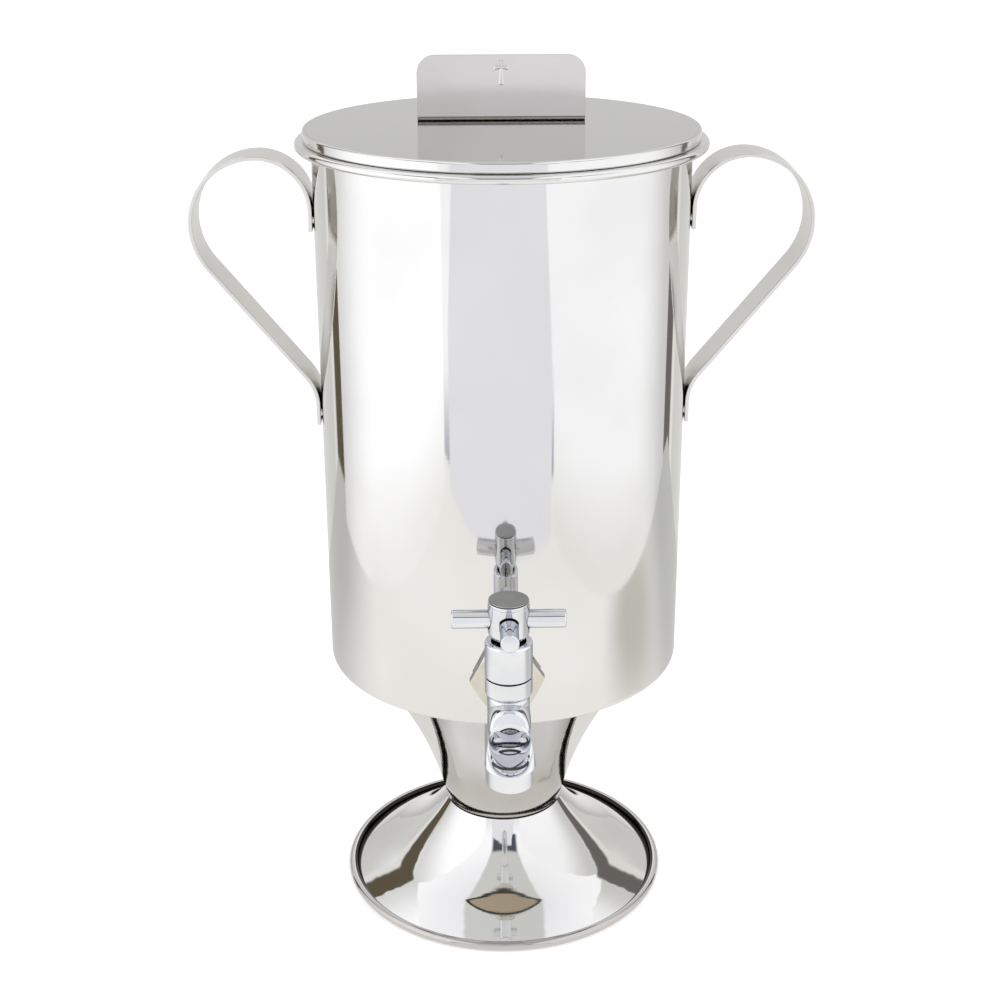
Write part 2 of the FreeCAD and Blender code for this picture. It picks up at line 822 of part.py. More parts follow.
def make_plate(drills):
    """The upright plate, bent backwards at its foot, with rounded upper corners."""
    thick = size.plate_thickness
    bend = size.plate_bend_radius
    front = size.plate_front
    back = front + thick
    bend_y = back + bend
    bend_z = lid_top + thick + bend
    top = lid_top + size.plate_height
    plate = extruded("plate", "YZ_Plane", [
        (bend_y, lid_top),
        (front + size.plate_foot, lid_top),
        (front + size.plate_foot, lid_top + thick),
        (bend_y, lid_top + thick, bend, Turn.RIGHT),
        (back, bend_z),
        (back, top),
        (front, top),
        (front, bend_z, bend + thick, Turn.LEFT),
    ], size.plate_width)
    pad = plate.Tip
    near = thick.value / 10
    corner_edges = [
        f"Edge{number}" for number, edge in enumerate(pad.Shape.Edges, start=1)
        if abs(edge.BoundBox.ZMin - top.value) < near and edge.BoundBox.XLength < near
    ]
    rounding = plate.newObject("PartDesign::Fillet", "corners")
    rounding.Base = (pad, corner_edges)
    bind(rounding, "Radius", size.plate_corner_radius)
    doc.recompute()
    return cut("plate_cut", plate, drills)


def make_tap_body():
    """The casting: barrel and collar, shank, sloping spout and bell, with the water's way through them."""
    bottom = barrel_bottom
    shoulder = shoulder_height
    barrel = size.barrel_radius
    collar = size.collar_radius
    edge = size.barrel_edge
    step = size.shoulder_edge
    upright = turned("tap_barrel", [
        (0, bottom),
        (barrel - edge, bottom, edge, Turn.LEFT),
        (barrel, bottom + edge),
        (barrel, shoulder - step),
        (collar - step, shoulder - step),
        (collar, shoulder),
        (collar, tap_top),
        (0, tap_top),
    ], stem)
    stem_distance = size.tank_radius + size.stem_reach
    shank_length = stem_distance - shank_end
    shank_base = (0, stem[1], inlet_height)
    shank = bar("tap_shank", size.shank_radius, shank_length, shank_base, TO_TANK)
    arm = sloping_bar("tap_spout", size.spout_radius, bottom + size.spout_rise, bottom + size.spout_end_rise)
    floor_depth = size.spout_radius * 2
    underside = block("spout_underside", (size.bell_radius * 4, stem_distance, floor_depth),
                      (-(size.bell_radius * 2), nozzle_axis[1] - size.bell_radius * 2, bottom - floor_depth))
    arm_above = cut("tap_spout_cut", arm, [underside])
    crown = bottom + size.bell_crown
    dome_rise = size.bell_crown - size.bell_rim
    dome = (size.bell_radius * size.bell_radius + dome_rise * dome_rise) / (dome_rise * 2)
    bell = turned("tap_bell", [
        (0, bottom),
        (size.bell_radius, bottom),
        (size.bell_radius, bottom + size.bell_rim, dome, Turn.LEFT),
        (0, crown),
    ], nozzle_axis)
    casting = fuse("tap_casting", [upright, shank, arm_above, bell])

    sump_floor = outlet_height - size.outlet_bore - size.outlet_sump
    socket_top = bottom + nozzle_socket_height
    inlet_way = bar("inlet_way", size.shank_bore, shank_length, shank_base, TO_TANK)
    valve_way = bar("valve_way", cartridge_way, tap_top - seat_height, (0, stem[1], seat_height))
    seat_way = bar("seat_way", seat_bore, seat_height - sump_floor, (0, stem[1], sump_floor))
    outlet_way = bar("outlet_way", size.outlet_bore, size.spout_reach - size.outlet_bore,
                     (0, stem[1], outlet_height), TO_FRONT)
    pocket = bar("outlet_pocket", size.outlet_pocket_radius, outlet_height - socket_top,
                 (0, nozzle_axis[1], socket_top))
    socket = bar("nozzle_socket", nozzle_thread_radius + size.thread_gap, nozzle_socket_height,
                 (0, nozzle_axis[1], bottom))
    ways = [inlet_way, valve_way, seat_way, outlet_way, pocket, socket]
    keep(cut("tap_body_cut", casting, ways), "tap_body")


def sloping_bar(name, radius, start_height, end_height):
    """A round bar from the stem's axis down to the nozzle's axis."""
    fall = start_height - end_height
    tilt = RIGHT_ANGLE + slope_angle(fall, size.spout_reach)
    length = root(fall * fall + size.spout_reach * size.spout_reach)
    turn = Rotation(Vector(1, 0, 0), tilt.value)
    cylinder = bar(name, radius, length, (0, stem[1], start_height), turn)
    bind(cylinder, "Placement.Rotation.Angle", tilt)
    return cylinder


def hexagon(name, width, bore, bottom, height):
    """A hexagonal nut on the inlet's line, with corners to the left and right."""
    half = width / 2
    corner = half / cosine(as_size(HEXAGON_HALF_ANGLE))
    body = doc.addObject("PartDesign::Body", name)
    sketch = new_sketch(body, "XY_Plane")
    half_corner = corner / 2
    draw(sketch, [
        (corner, 0),
        (half_corner, half),
        (-half_corner, half),
        (-corner, 0),
        (-half_corner, -half),
        (half_corner, -half),
    ])
    bind(sketch, "AttachmentOffset.Base.z", bottom)
    doc.recompute()
    pad = body.newObject("PartDesign::Pad", "pad")
    pad.Profile = sketch
    bind(pad, "Length", height)
    place(body, inlet, TO_FRONT)
    doc.recompute()
    drill = bar(f"{name}_drill", bore, size.tank_radius + size.stem_reach, inlet, TO_FRONT)
    return cut(f"{name}_cut", body, [drill])


def make_wall_fittings():
    """Locknut and gasket outside the wall; gasket, washer and backnut inside it."""
    spare = gasket_radius
    outer_blank = ring("outer_gasket_blank", gasket_radius, nut_bore, wall_outside - spare / 2,
                       size.gasket_thickness + spare / 2, inlet, TO_FRONT)
    inner_blank = ring("inner_gasket_blank", gasket_radius, nut_bore, inner_gasket_face,
                       size.gasket_thickness + spare / 2, inlet, TO_FRONT)
    wall_base = (0, 0, inlet_height - size.tank_radius)
    outer_wall = bar("outer_wall", wall_outside, size.tank_radius * 2, wall_base)
    inner_wall = bar("inner_wall", tank_inside, size.tank_radius * 2, wall_base)
    keep(cut("outer_gasket_cut", outer_blank, [outer_wall]), "outer_gasket")
    keep(common("inner_gasket_common", inner_blank, inner_wall), "inner_gasket")
    keep(ring("wall_washer", gasket_radius, nut_bore, backnut_face, size.washer_thickness,
              inlet, TO_FRONT), "inner_washer")
    keep(hexagon("locknut", locknut_width, nut_bore, locknut_face, size.locknut_height), "tap_locknut")
    keep(hexagon("backnut", backnut_width, nut_bore, backnut_face - size.backnut_height,
                 size.backnut_height), "inner_backnut")


def make_headwork():
    """The seat's gasket, and the headwork with a window towards the inlet."""
    keep(ring("seat_ring", cartridge_radius, seat_bore, seat_height, size.seat_gasket_height, stem),
         "seat_gasket")
    bearing = size.spindle_radius + size.running_gap
    chamber_top = tang_top + size.running_gap
    headwork = turned("headwork", [
        (chamber_radius, seat_gasket_top),
        (cartridge_radius, seat_gasket_top),
        (cartridge_radius, tap_top),
        (cartridge_flange_radius, tap_top),
        (cartridge_flange_radius, bonnet_bottom),
        (cartridge_thread_radius, bonnet_bottom),
        (cartridge_thread_radius, headwork_thread_top),
        (cartridge_nose_radius, headwork_thread_top),
        (cartridge_nose_radius, headwork_top),
        (bearing, headwork_top),
        (bearing, chamber_top),
        (chamber_radius, chamber_top),
    ], stem)
    window = block("headwork_window", (size.window_width, cartridge_radius, chamber_top - moving_disc_top),
                   (size.window_width / -2, stem[1], moving_disc_top))
    keep(cut("headwork_cut", headwork, [window]), "cartridge_body")


def disc_with_ports(name, bottom, across, along):
    """A ceramic disc with two round ports, set across the tap or along it."""
    blank = bar(f"{name}_disc_blank", disc_radius, size.disc_height, (0, stem[1], bottom))
    ports = []
    for side in (-1, 1):
        port_x = disc_port_offset * (side * across)
        port_y = stem[1] + disc_port_offset * (side * along)
        port_base = (port_x, port_y, bottom)
        ports.append(bar(f"{name}_disc_port", size.disc_port_radius, size.disc_height, port_base))
    return cut(f"{name}_disc_cut", blank, ports)


def make_discs():
    """Fixed disc, ports across; moving disc, ports along while shut, with the slot that it is turned by."""
    keep(disc_with_ports("fixed", seat_gasket_top, 1, 0), "fixed_disc")
    ported = disc_with_ports("moving", moving_disc_bottom, 0, 1)
    slot_width = size.tang_width + size.running_gap * 2
    slot_depth = size.tang_depth + size.running_gap
    slot = block("tang_slot", (disc_radius * 2, slot_width, slot_depth),
                 (-disc_radius, stem[1] - slot_width / 2, moving_disc_top - slot_depth))
    keep(cut("moving_disc_slotted", ported, [slot]), "moving_disc")


def make_spindle():
    """The spindle, whose tang turns the moving disc, with its seals and circlip."""
    radius = size.spindle_radius
    groove = radius - size.seal_groove_depth
    half_groove = size.seal_groove_height / 2
    clip_groove = radius - size.circlip_groove_depth
    clip_bottom = headwork_top + size.running_gap
    clip_top = clip_bottom + size.circlip_height
    thread = size.screw_radius + size.thread_gap
    seal_heights = [seal_first, seal_first + size.seal_pitch]
    outline = [(0, tang_top), (radius, tang_top)]
    for height in seal_heights:
        outline += [
            (radius, height - half_groove),
            (groove, height - half_groove),
            (groove, height + half_groove),
            (radius, height + half_groove),
        ]
    outline += [
        (radius, clip_bottom),
        (clip_groove, clip_bottom),
        (clip_groove, clip_top),
        (radius, clip_top),
        (radius, spindle_top),
        (thread, spindle_top),
        (thread, spindle_top - size.screw_length),
        (0, spindle_top - size.screw_length),
    ]
    shaft = turned("spindle_shaft", outline, stem)
    tang_bottom = moving_disc_top - size.tang_depth
    tang_length = tang_top - tang_bottom
    tang_blank = bar("tang_blank", disc_radius, tang_length, (0, stem[1], tang_bottom))
    tang_flats = block("tang_flats", (disc_radius * 2, size.tang_width, tang_length),
                       (-disc_radius, stem[1] - size.tang_width / 2, tang_bottom))
    keep(fuse("spindle_fuse", [shaft, common("tang", tang_blank, tang_flats)]), "spindle")

    seals = []
    for height in seal_heights:
        seal = doc.addObject("Part::Torus", "seal")
        bind(seal, "Radius1", groove + size.seal_tube_radius)
        bind(seal, "Radius2", size.seal_tube_radius)
        place(seal, (0, stem[1], height), UPRIGHT)
        seals.append(seal)
    keep(group("seal_set", seals), "spindle_seals")

    clip = ring("clip_ring", circlip_radius, clip_groove + size.hub_socket_gap, clip_bottom,
                size.circlip_height, stem)
    opening = block("clip_opening", (size.circlip_opening, circlip_radius, size.circlip_height),
                    (size.circlip_opening / -2, stem[1], clip_bottom))
    keep(cut("clip_cut", clip, [opening]), "spindle_circlip")


def make_bonnet():
    """An open cup that screws onto the headwork."""
    top = bonnet_top
    radius = size.collar_radius
    edge = size.bonnet_edge
    keep(turned("bonnet_turning", [
        (bonnet_bore, bonnet_bottom),
        (radius, bonnet_bottom),
        (radius, top - edge, edge, Turn.LEFT),
        (radius - edge, top),
        (bonnet_bore, top),
    ], stem), "bonnet")


def make_cross_handle():
    """Hub, four spokes, the screw that holds the hub to the spindle, and a cap over it."""
    top = hub_top
    recess_floor = top - size.hub_recess_depth
    screw_hole = size.screw_radius + size.thread_gap
    edge = size.hub_edge
    hub = turned("hub_turning", [
        (spindle_socket, hub_bottom),
        (hub_nose_radius, hub_bottom),
        (size.hub_radius, hub_bottom + size.hub_taper),
        (size.hub_radius, top - edge),
        (size.hub_radius - edge, top),
        (hub_recess_radius, top),
        (hub_recess_radius, recess_floor),
        (screw_hole, recess_floor),
        (screw_hole, spindle_top),
        (spindle_socket, spindle_top),
    ], stem)
    centre = (0, stem[1], spoke_height)
    pin_hole = size.spoke_pin_radius + size.thread_gap
    drills = []
    for label, turn in spoke_turns():
        seat = turned("spoke_seat_drill", [
            (0, spoke_pin_start),
            (pin_hole, spoke_pin_start),
            (pin_hole, spoke_seat),
            (size.spoke_radius + size.thread_gap, spoke_seat),
            (size.spoke_radius + size.thread_gap, spoke_tip),
            (0, spoke_tip),
        ], centre, turn)
        drills.append(seat)
        keep(turned("spoke_turning", [
            (0, spoke_pin_start),
            (size.spoke_pin_radius, spoke_pin_start),
            (size.spoke_pin_radius, spoke_seat),
            (size.spoke_radius, spoke_seat),
            (size.spoke_radius, spoke_tip - size.spoke_edge, size.spoke_edge, Turn.LEFT),
            (size.spoke_radius - size.spoke_edge, spoke_tip),
            (0, spoke_tip),
        ], centre, turn), label)
    keep(cut("hub_cut", hub, drills), "cross_hub")

    head_top = recess_floor + size.screw_head_height
    screw = turned("screw_turning", [
        (0, spindle_top - size.screw_length),
        (size.screw_radius, spindle_top - size.screw_length),
        (size.screw_radius, recess_floor),
        (size.screw_head_radius, recess_floor),
        (size.screw_head_radius, head_top),
        (0, head_top),
    ], stem)
    slot_floor = head_top - size.screw_slot_depth
    slot_base = (-size.screw_head_radius, stem[1] - size.screw_slot_width / 2, slot_floor)
    slot_lengths = (size.screw_head_radius * 2, size.screw_slot_width, size.screw_slot_depth)
    slot = block("screw_slot", slot_lengths, slot_base)
    keep(cut("screw_cut", screw, [slot]), "hub_screw")

    cap_top = top + size.cap_height
    keep(turned("cap_turning", [
        (cap_spigot_bore, top - size.cap_spigot_height),
        (cap_spigot_radius, top - size.cap_spigot_height),
        (cap_spigot_radius, top),
        (cap_radius, top),
        (cap_radius, cap_top - size.cap_edge, size.cap_edge, Turn.LEFT),
        (cap_radius - size.cap_edge, cap_top),
        (0, cap_top),
        (0, top),
        (cap_spigot_bore, top),
    ], stem), "hub_cap")


def spoke_turns():
    """Each spoke's name, and the rotation that points it outwards."""
    names = ("spoke_front", "spoke_right", "spoke_back", "spoke_left")
    step = 360 / QUARTERS
    return [
        (name, Rotation(Vector(0, 0, 1), step * number).multiply(TO_FRONT))
        for number, name in enumerate(names)
    ]


def make_nozzle():
    """The screwed outlet ring, the washer above it and the perforated insert inside it."""
    bottom = barrel_bottom - size.nozzle_height
    joint = barrel_bottom
    lip_top = bottom + size.nozzle_lip
    edge = size.nozzle_edge
    thread_top = joint + size.nozzle_thread_height
    keep(turned("nozzle_turning", [
        (nozzle_lip_bore, bottom),
        (nozzle_radius - edge, bottom),
        (nozzle_radius, bottom + edge),
        (nozzle_radius, joint),
        (nozzle_thread_radius, joint),
        (nozzle_thread_radius, thread_top),
        (nozzle_bore, thread_top),
        (nozzle_bore, lip_top),
        (nozzle_lip_bore, lip_top),
    ], nozzle_axis), "nozzle_ring")
    keep(ring("nozzle_seal", nozzle_thread_radius, nozzle_bore, thread_top,
              size.nozzle_washer_height, nozzle_axis), "nozzle_washer")
    insert_radius = nozzle_bore - size.thread_gap
    insert = turned("aerator_turning", [
        (0, lip_top),
        (insert_radius, lip_top),
        (insert_radius, lip_top + size.aerator_height),
        (0, lip_top + size.aerator_height),
    ], nozzle_axis)
    centres = [(0, nozzle_axis[1], lip_top)]
    outer_reach = insert_radius - size.aerator_rim
    for ring_number in range(1, AERATOR_RINGS + 1):
        reach = outer_reach * ring_number / AERATOR_RINGS
        count = HOLES_PER_RING * ring_number
        for number in range(count):
            angle = 2 * math.pi * number / count
            centres.append((reach * math.cos(angle), nozzle_axis[1] + reach * math.sin(angle), lip_top))
    drills = [
        bar("aerator_drill", size.aerator_hole_radius, size.aerator_height, centre)
        for centre in centres
    ]
    keep(cut("aerator_cut", insert, drills), "aerator_insert")


def check_and_write():
    """Stop if any object failed; otherwise write one file per sub-part."""
    doc.recompute()
    failed = [item.Label for item in doc.Objects if {"Invalid", "Error"} & set(item.State)]
    if failed:
        raise RuntimeError(f"these objects did not build: {failed}")
    for part in parts:
        if part.Shape.isNull() or not part.Shape.isValid() or not part.Shape.Solids:
            raise RuntimeError(f"{part.Label} has no valid solid")
    os.makedirs("parts", exist_ok=True)
    for part in parts:
        part.Shape.exportStep(f"parts/{part.Label}.step")
        print(f"{part.Label}: {len(part.Shape.Solids)} solid(s), {part.Shape.Volume:.1f} mm3")


make_tank()
make_neck()
make_foot()
make_handle("handle_right", UPRIGHT)
make_handle("handle_left", HALF_TURN)
make_handle_rivets()
make_lid()
make_tap_body()
make_wall_fittings()
make_headwork()
make_discs()
make_spindle()
make_bonnet()
make_cross_handle()
make_nozzle()
check_and_write()
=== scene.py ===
"""The polished steel holy water receptacle, dressed piece by piece and set in a plain studio.

Sizes of pieces and cards are in millimetres and are turned into metres where a mesh is made.
Places in finishes, stage paint, floor and lamps are in metres, and angles are in degrees.
"""
import logging
import math
from dataclasses import dataclass, field
from enum import Enum
from typing import Callable, Iterable, Sequence, Union

import bmesh
import bpy
from mathutils import Euler, Matrix, Vector


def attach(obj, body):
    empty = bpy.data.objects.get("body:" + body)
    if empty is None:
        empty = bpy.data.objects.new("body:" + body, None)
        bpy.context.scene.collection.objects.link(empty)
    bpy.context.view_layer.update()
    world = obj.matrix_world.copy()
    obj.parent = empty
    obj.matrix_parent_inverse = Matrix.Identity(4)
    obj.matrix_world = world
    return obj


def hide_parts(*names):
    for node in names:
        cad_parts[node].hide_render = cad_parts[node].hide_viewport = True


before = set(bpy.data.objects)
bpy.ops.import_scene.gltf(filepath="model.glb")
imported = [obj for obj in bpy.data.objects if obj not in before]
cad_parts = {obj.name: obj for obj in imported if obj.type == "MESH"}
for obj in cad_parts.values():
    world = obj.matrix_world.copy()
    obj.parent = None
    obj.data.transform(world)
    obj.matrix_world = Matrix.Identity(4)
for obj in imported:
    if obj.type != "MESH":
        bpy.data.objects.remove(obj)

LOG = logging.getLogger("receptacle")
MM = 0.001
FULL_TURN = 2 * math.pi
MERGE_DISTANCE = 1e-6
SMOOTH_ANGLE = 32.0
Colour = tuple[float, float, float, float]
Pair = tuple[float, float]
Triple = tuple[float, float, float]


class Body(Enum):
    """The moving bodies of the receptacle."""

    VESSEL = "vessel"
    LID = "lid"
    TAP_HANDLE = "tap_handle"


class Slot(Enum):
    """The material slots of the record."""

    STEEL = "polished_steel"
    CHROME = "chrome"
    BRASS = "brass"
    RUBBER = "rubber"
    CERAMIC = "ceramic"
    PLASTIC = "white_plastic"


class Turn(Enum):
    """Which way an arc of an outline turns."""

    LEFT = 1
    RIGHT = -1


class Side(Enum):
    """The side of the tank that a handle stands on."""

    RIGHT = 1
    LEFT = -1


class Lay(Enum):
    """How the marks of polishing run over a piece."""

    SPUN = "rings about the tank's axis"
    ACROSS = "straight lines from side to side"


class Socket:
    """A shader value that takes part in Python arithmetic; each operation adds a Math node."""

    def __init__(self, graph: "Graph", socket: bpy.types.NodeSocket) -> None:
        """Wrap one output socket of a graph."""
        self.graph = graph
        self.socket = socket

    def calculate(self, operation: str, *operands: "Operand") -> "Socket":
        """Add one Math node.

        Args:
            operation: Name of the Math node's operation.
            operands: Its inputs in order, sockets or numbers.

        Returns:
            The node's result.
        """
        inputs = dict(enumerate(operands))
        node = self.graph.node("ShaderNodeMath", {"operation": operation}, inputs)
        return Socket(self.graph, node.outputs[0])

    def __add__(self, other: "Operand") -> "Socket":
        """This value plus another."""
        return self.calculate("ADD", self, other)

    def __radd__(self, other: "Operand") -> "Socket":
        """Another value plus this one."""
        return self.calculate("ADD", other, self)

    def __sub__(self, other: "Operand") -> "Socket":
        """This value less another."""
        return self.calculate("SUBTRACT", self, other)

    def __rsub__(self, other: "Operand") -> "Socket":
        """Another value less this one."""
        return self.calculate("SUBTRACT", other, self)

    def __mul__(self, other: "Operand") -> "Socket":
        """This value times another."""
        return self.calculate("MULTIPLY", self, other)

    def __rmul__(self, other: "Operand") -> "Socket":
        """Another value times this one."""
        return self.calculate("MULTIPLY", other, self)

    def __abs__(self) -> "Socket":
        """The size of this value without its sign."""
        return self.calculate("ABSOLUTE", self)

    def root(self) -> "Socket":
        """The square root of this value."""
        return self.calculate("SQRT", self)

    def rise(self, low: float, high: float) -> "Socket":
        """A soft step from 0 to 1.

        Args:
            low: Where the step starts.
            high: Where it has reached 1.

        Returns:
            The stepped value.
        """
        limits = {"Value": self, "From Min": low, "From Max": high}
        node = self.graph.node("ShaderNodeMapRange", {"interpolation_type": "SMOOTHSTEP"}, limits)
        return Socket(self.graph, node.outputs[0])

    def between(self, low: float, high: float, soft: float) -> "Socket":
        """A soft band that is 1 inside its limits.

        Args:
            low: Lower edge of the band.
            high: Upper edge of the band.
            soft: Half the width of each soft edge.

        Returns:
            The band's mask.
        """
        return self.rise(low - soft, low + soft) * (1 - self.rise(high - soft, high + soft))


Operand = Union[Socket, float]
SocketValue = Union[Socket, float, Sequence[float]]


class Graph:
    """A node tree, emptied and built up from expressions."""

    def __init__(self, tree: bpy.types.NodeTree) -> None:
        """Empty a node tree."""
        self.tree = tree
        tree.nodes.clear()

    def node(self, kind: str, settings: dict[str, object] | None = None,
             sockets: dict[str | int, SocketValue] | None = None) -> bpy.types.Node:
        """Add one node.

        Args:
            kind: The node's type.
            settings: Properties of the node, set first.
            sockets: Values or links of its input sockets, by name or number.

        Returns:
            The new node.
        """
        made = self.tree.nodes.new(kind)
        for name, value in (settings or {}).items():
            setattr(made, name, value)
        for key, value in (sockets or {}).items():
            if isinstance(value, Socket):
                self.tree.links.new(value.socket, made.inputs[key])
            else:
                made.inputs[key].default_value = value
        return made

    def output(self, node: bpy.types.Node, name: str | int = 0) -> Socket:
        """One output of a node, ready for arithmetic."""
        return Socket(self, node.outputs[name])

    def place(self, scale: Triple = (1, 1, 1), centre: Triple = (0, 0, 0)) -> Socket:
        """Object coordinates moved to a centre and stretched.

        Args:
            scale: Stretch along each axis.
            centre: The point, in metres, that becomes the pattern's origin.

        Returns:
            The mapped coordinates.
        """
        coordinates = self.output(self.node("ShaderNodeTexCoord"), "Object")
        shift = [-offset * stretch for offset, stretch in zip(centre, scale)]
        sockets = {"Vector": coordinates, "Location": shift, "Scale": scale}
        return self.output(self.node("ShaderNodeMapping", {"vector_type": "POINT"}, sockets))

    def axes(self, vector: Socket) -> tuple[Socket, Socket, Socket]:
        """The three parts of a vector."""
        parts = self.node("ShaderNodeSeparateXYZ", sockets={0: vector})
        return self.output(parts, 0), self.output(parts, 1), self.output(parts, 2)

    def noise(self, vector: Socket, scale: float, detail: float) -> Socket:
        """A noise value.

        Args:
            vector: Where it is read.
            scale: How fine it is.
            detail: How many finer layers it has.

        Returns:
            The noise, about 0 to 1.
        """
        sockets = {"Vector": vector, "Scale": scale, "Detail": detail}
        return self.output(self.node("ShaderNodeTexNoise", sockets=sockets), 0)

    def blend(self, factor: Operand, first: SocketValue, second: SocketValue) -> Socket:
        """A mix of two colours.

        Args:
            factor: 0 gives the first colour, 1 the second.
            first: A colour or a colour socket.
            second: A colour or a colour socket.

        Returns:
            The mixed colour.
        """
        node = self.node("ShaderNodeMix", {"data_type": "RGBA"}, {0: factor, 6: first, 7: second})
        return self.output(node, 2)

    def bump(self, height: Socket, depth: float, strength: float = 1.0) -> Socket:
        """A normal bent by a height.

        Args:
            height: The height pattern, about 0 to 1.
            depth: What a height of 1 stands for, in metres.
            strength: How much of it shows.

        Returns:
            The bent normal.
        """
        sockets = {"Height": height, "Distance": depth, "Strength": strength}
        return self.output(self.node("ShaderNodeBump", sockets=sockets))

    def around(self, scale: float = 1.0, centre: Triple = (0, 0, 0)) -> tuple[Socket, Socket]:
        """Distance from an upright axis, and height.

        Args:
            scale: Stretch of both.
            centre: The point of the axis, in metres, from which the height counts.

        Returns:
            The distance and the height.
        """
        x, y, z = self.axes(self.place((scale, scale, scale), centre))
        return (x * x + y * y).root(), z

    def rings(self, scale: float, centre: Triple = (0, 0, 0)) -> Socket:
        """Coordinates that are the same all round an upright axis.

        Args:
            scale: Their stretch.
            centre: A point of the axis, in metres.

        Returns:
            A vector of distance and height.
        """
        distance, height = self.around(scale, centre)
        return self.output(self.node("ShaderNodeCombineXYZ", sockets={0: distance, 1: height}))


_made: dict["Finish", bpy.types.Material] = {}


@dataclass(frozen=True)
class Finish:
    """A finish of the receptacle: a record's slot and a procedural surface."""

    name: str
    slot: Slot

    def material(self) -> bpy.types.Material:
        """The finish as a material, made once and shared.

        Returns:
            The material.
        """
        if self not in _made:
            material = bpy.data.materials.new(self.name)
            material.use_nodes = True
            graph = Graph(material.node_tree)
            surface = graph.output(graph.node("ShaderNodeBsdfPrincipled", sockets=self.surface(graph)))
            graph.node("ShaderNodeOutputMaterial", sockets={"Surface": surface})
            _made[self] = material
        return _made[self]

    def surface(self, graph: Graph) -> dict[str | int, SocketValue]:
        """The sockets of the finish's shader.

        Args:
            graph: The node tree to build in.

        Returns:
            Values and links by socket name.
        """
        raise NotImplementedError


@dataclass(frozen=True)
class MirrorSteel(Finish):
    """Polished stainless steel with faint marks of spinning and polishing, and slow ripples."""

    lay: Lay = Lay.SPUN
    tint: Colour = (0.71, 0.705, 0.69, 1)
    shade: Colour = (0.665, 0.655, 0.635, 1)
    shaded: Pair = (0.3, 0.75)
    roughness: float = 0.07
    smear: float = 0.05
    smeared: Pair = (0.35, 0.8)
    smear_of_clouds: float = 0.6
    smear_of_lines: float = 0.4
    cloud_scale: float = 14.0
    line_scale: float = 900.0
    line_stretch: Triple = (30, 900, 900)
    hairline: float = 0.000002
    ripple: float = 0.0
    ripple_scale: float = 90.0
    dent: float = 0.0
    dent_stretch: Triple = (26, 26, 14)

    def surface(self, graph: Graph) -> dict[str | int, SocketValue]:
        """Build the steel's colour, roughness and normal.

        Args:
            graph: The node tree to build in.

        Returns:
            Values and links by socket name.
        """
        cloud = graph.noise(graph.place(), self.cloud_scale, detail=3)
        across = self.lay is Lay.ACROSS
        marks = graph.place(self.line_stretch) if across else graph.rings(self.line_scale)
        lines = graph.noise(marks, scale=1, detail=2)
        waves = graph.noise(graph.rings(self.ripple_scale), scale=1, detail=1)
        dents = graph.noise(graph.place(self.dent_stretch), scale=1, detail=1)
        height = lines * self.hairline + waves * self.ripple + dents * self.dent
        smears = cloud.rise(*self.smeared) * self.smear_of_clouds + lines * self.smear_of_lines
        return {
            "Base Color": graph.blend(cloud.rise(*self.shaded), self.tint, self.shade),
            "Metallic": 1.0,
            "Roughness": self.roughness + self.smear * smears,
            "Normal": graph.bump(height, 1.0),
        }


@dataclass(frozen=True)
class DullAndShadedSteel(MirrorSteel):
    """Polished steel that is duller in one zone and near black in a thin ring, by heights and radii; the ring
    is painted shade in a crease or seam, and the duller zone is painted shade on tank, neck and foot but a
    duller top on the lid.
    """

    # The darker zone: painted shade on tank, neck and foot; on the lid, a duller top.
    darker_tone: Colour = (0.42, 0.36, 0.27, 1)
    dull_and_shade_heights: Pair = (0.13, 0.1403)
    dull_and_shade_radii: Pair = (-0.01, 0.1)
    # The near-black ring: painted shade in a crease or seam.
    painted_shade: Colour = (0.035, 0.03, 0.026, 1)
    painted_shade_heights: Pair = (0.13, 0.1403)
    painted_shade_radii: Pair = (0.0897, 0.0945)
    soft: float = 0.0002

    def surface(self, graph: Graph) -> dict[str | int, SocketValue]:
        """Add the darker zone and the near-black ring of painted shade to the steel's colour.

        Args:
            graph: The node tree to build in.

        Returns:
            Values and links by socket name.
        """
        sockets = super().surface(graph)
        radius, height = graph.around()
        # Masks of the darker zone and of the ring of painted shade.
        dull = height.between(*self.dull_and_shade_heights, self.soft) * radius.between(*self.dull_and_shade_radii, self.soft)
        dark = height.between(*self.painted_shade_heights, self.soft) * radius.between(*self.painted_shade_radii, self.soft)
        toned = graph.blend(dull, sockets["Base Color"], self.darker_tone)
        sockets["Base Color"] = graph.blend(dark, toned, self.painted_shade)
        return sockets


@dataclass(frozen=True)
class TankSteel(DullAndShadedSteel):
    """The tank's steel: polished outside, with painted shade on its underside and a near-black ring of
    painted shade at its lower edge, satin with water scale inside.
    """

    inside_radius: Pair = (0.0927, 0.0931)
    inside_floor: Pair = (0.1399, 0.1401)
    satin: Colour = (0.68, 0.675, 0.66, 1)
    satin_roughness: float = 0.3
    scale_share: float = 0.5

    def surface(self, graph: Graph) -> dict[str | int, SocketValue]:
        """Add the satin inside to the stained steel.

        Args:
            graph: The node tree to build in.

        Returns:
            Values and links by socket name.
        """
        sockets = super().surface(graph)
        radius, height = graph.around()
        inside = (1 - radius.rise(*self.inside_radius)) * height.rise(*self.inside_floor)
        sockets["Base Color"] = graph.blend(inside, sockets["Base Color"], self.satin)
        sockets["Roughness"] = sockets["Roughness"] + inside * self.satin_roughness
        sockets["Metallic"] = 1 - inside * self.scale_share
        return sockets


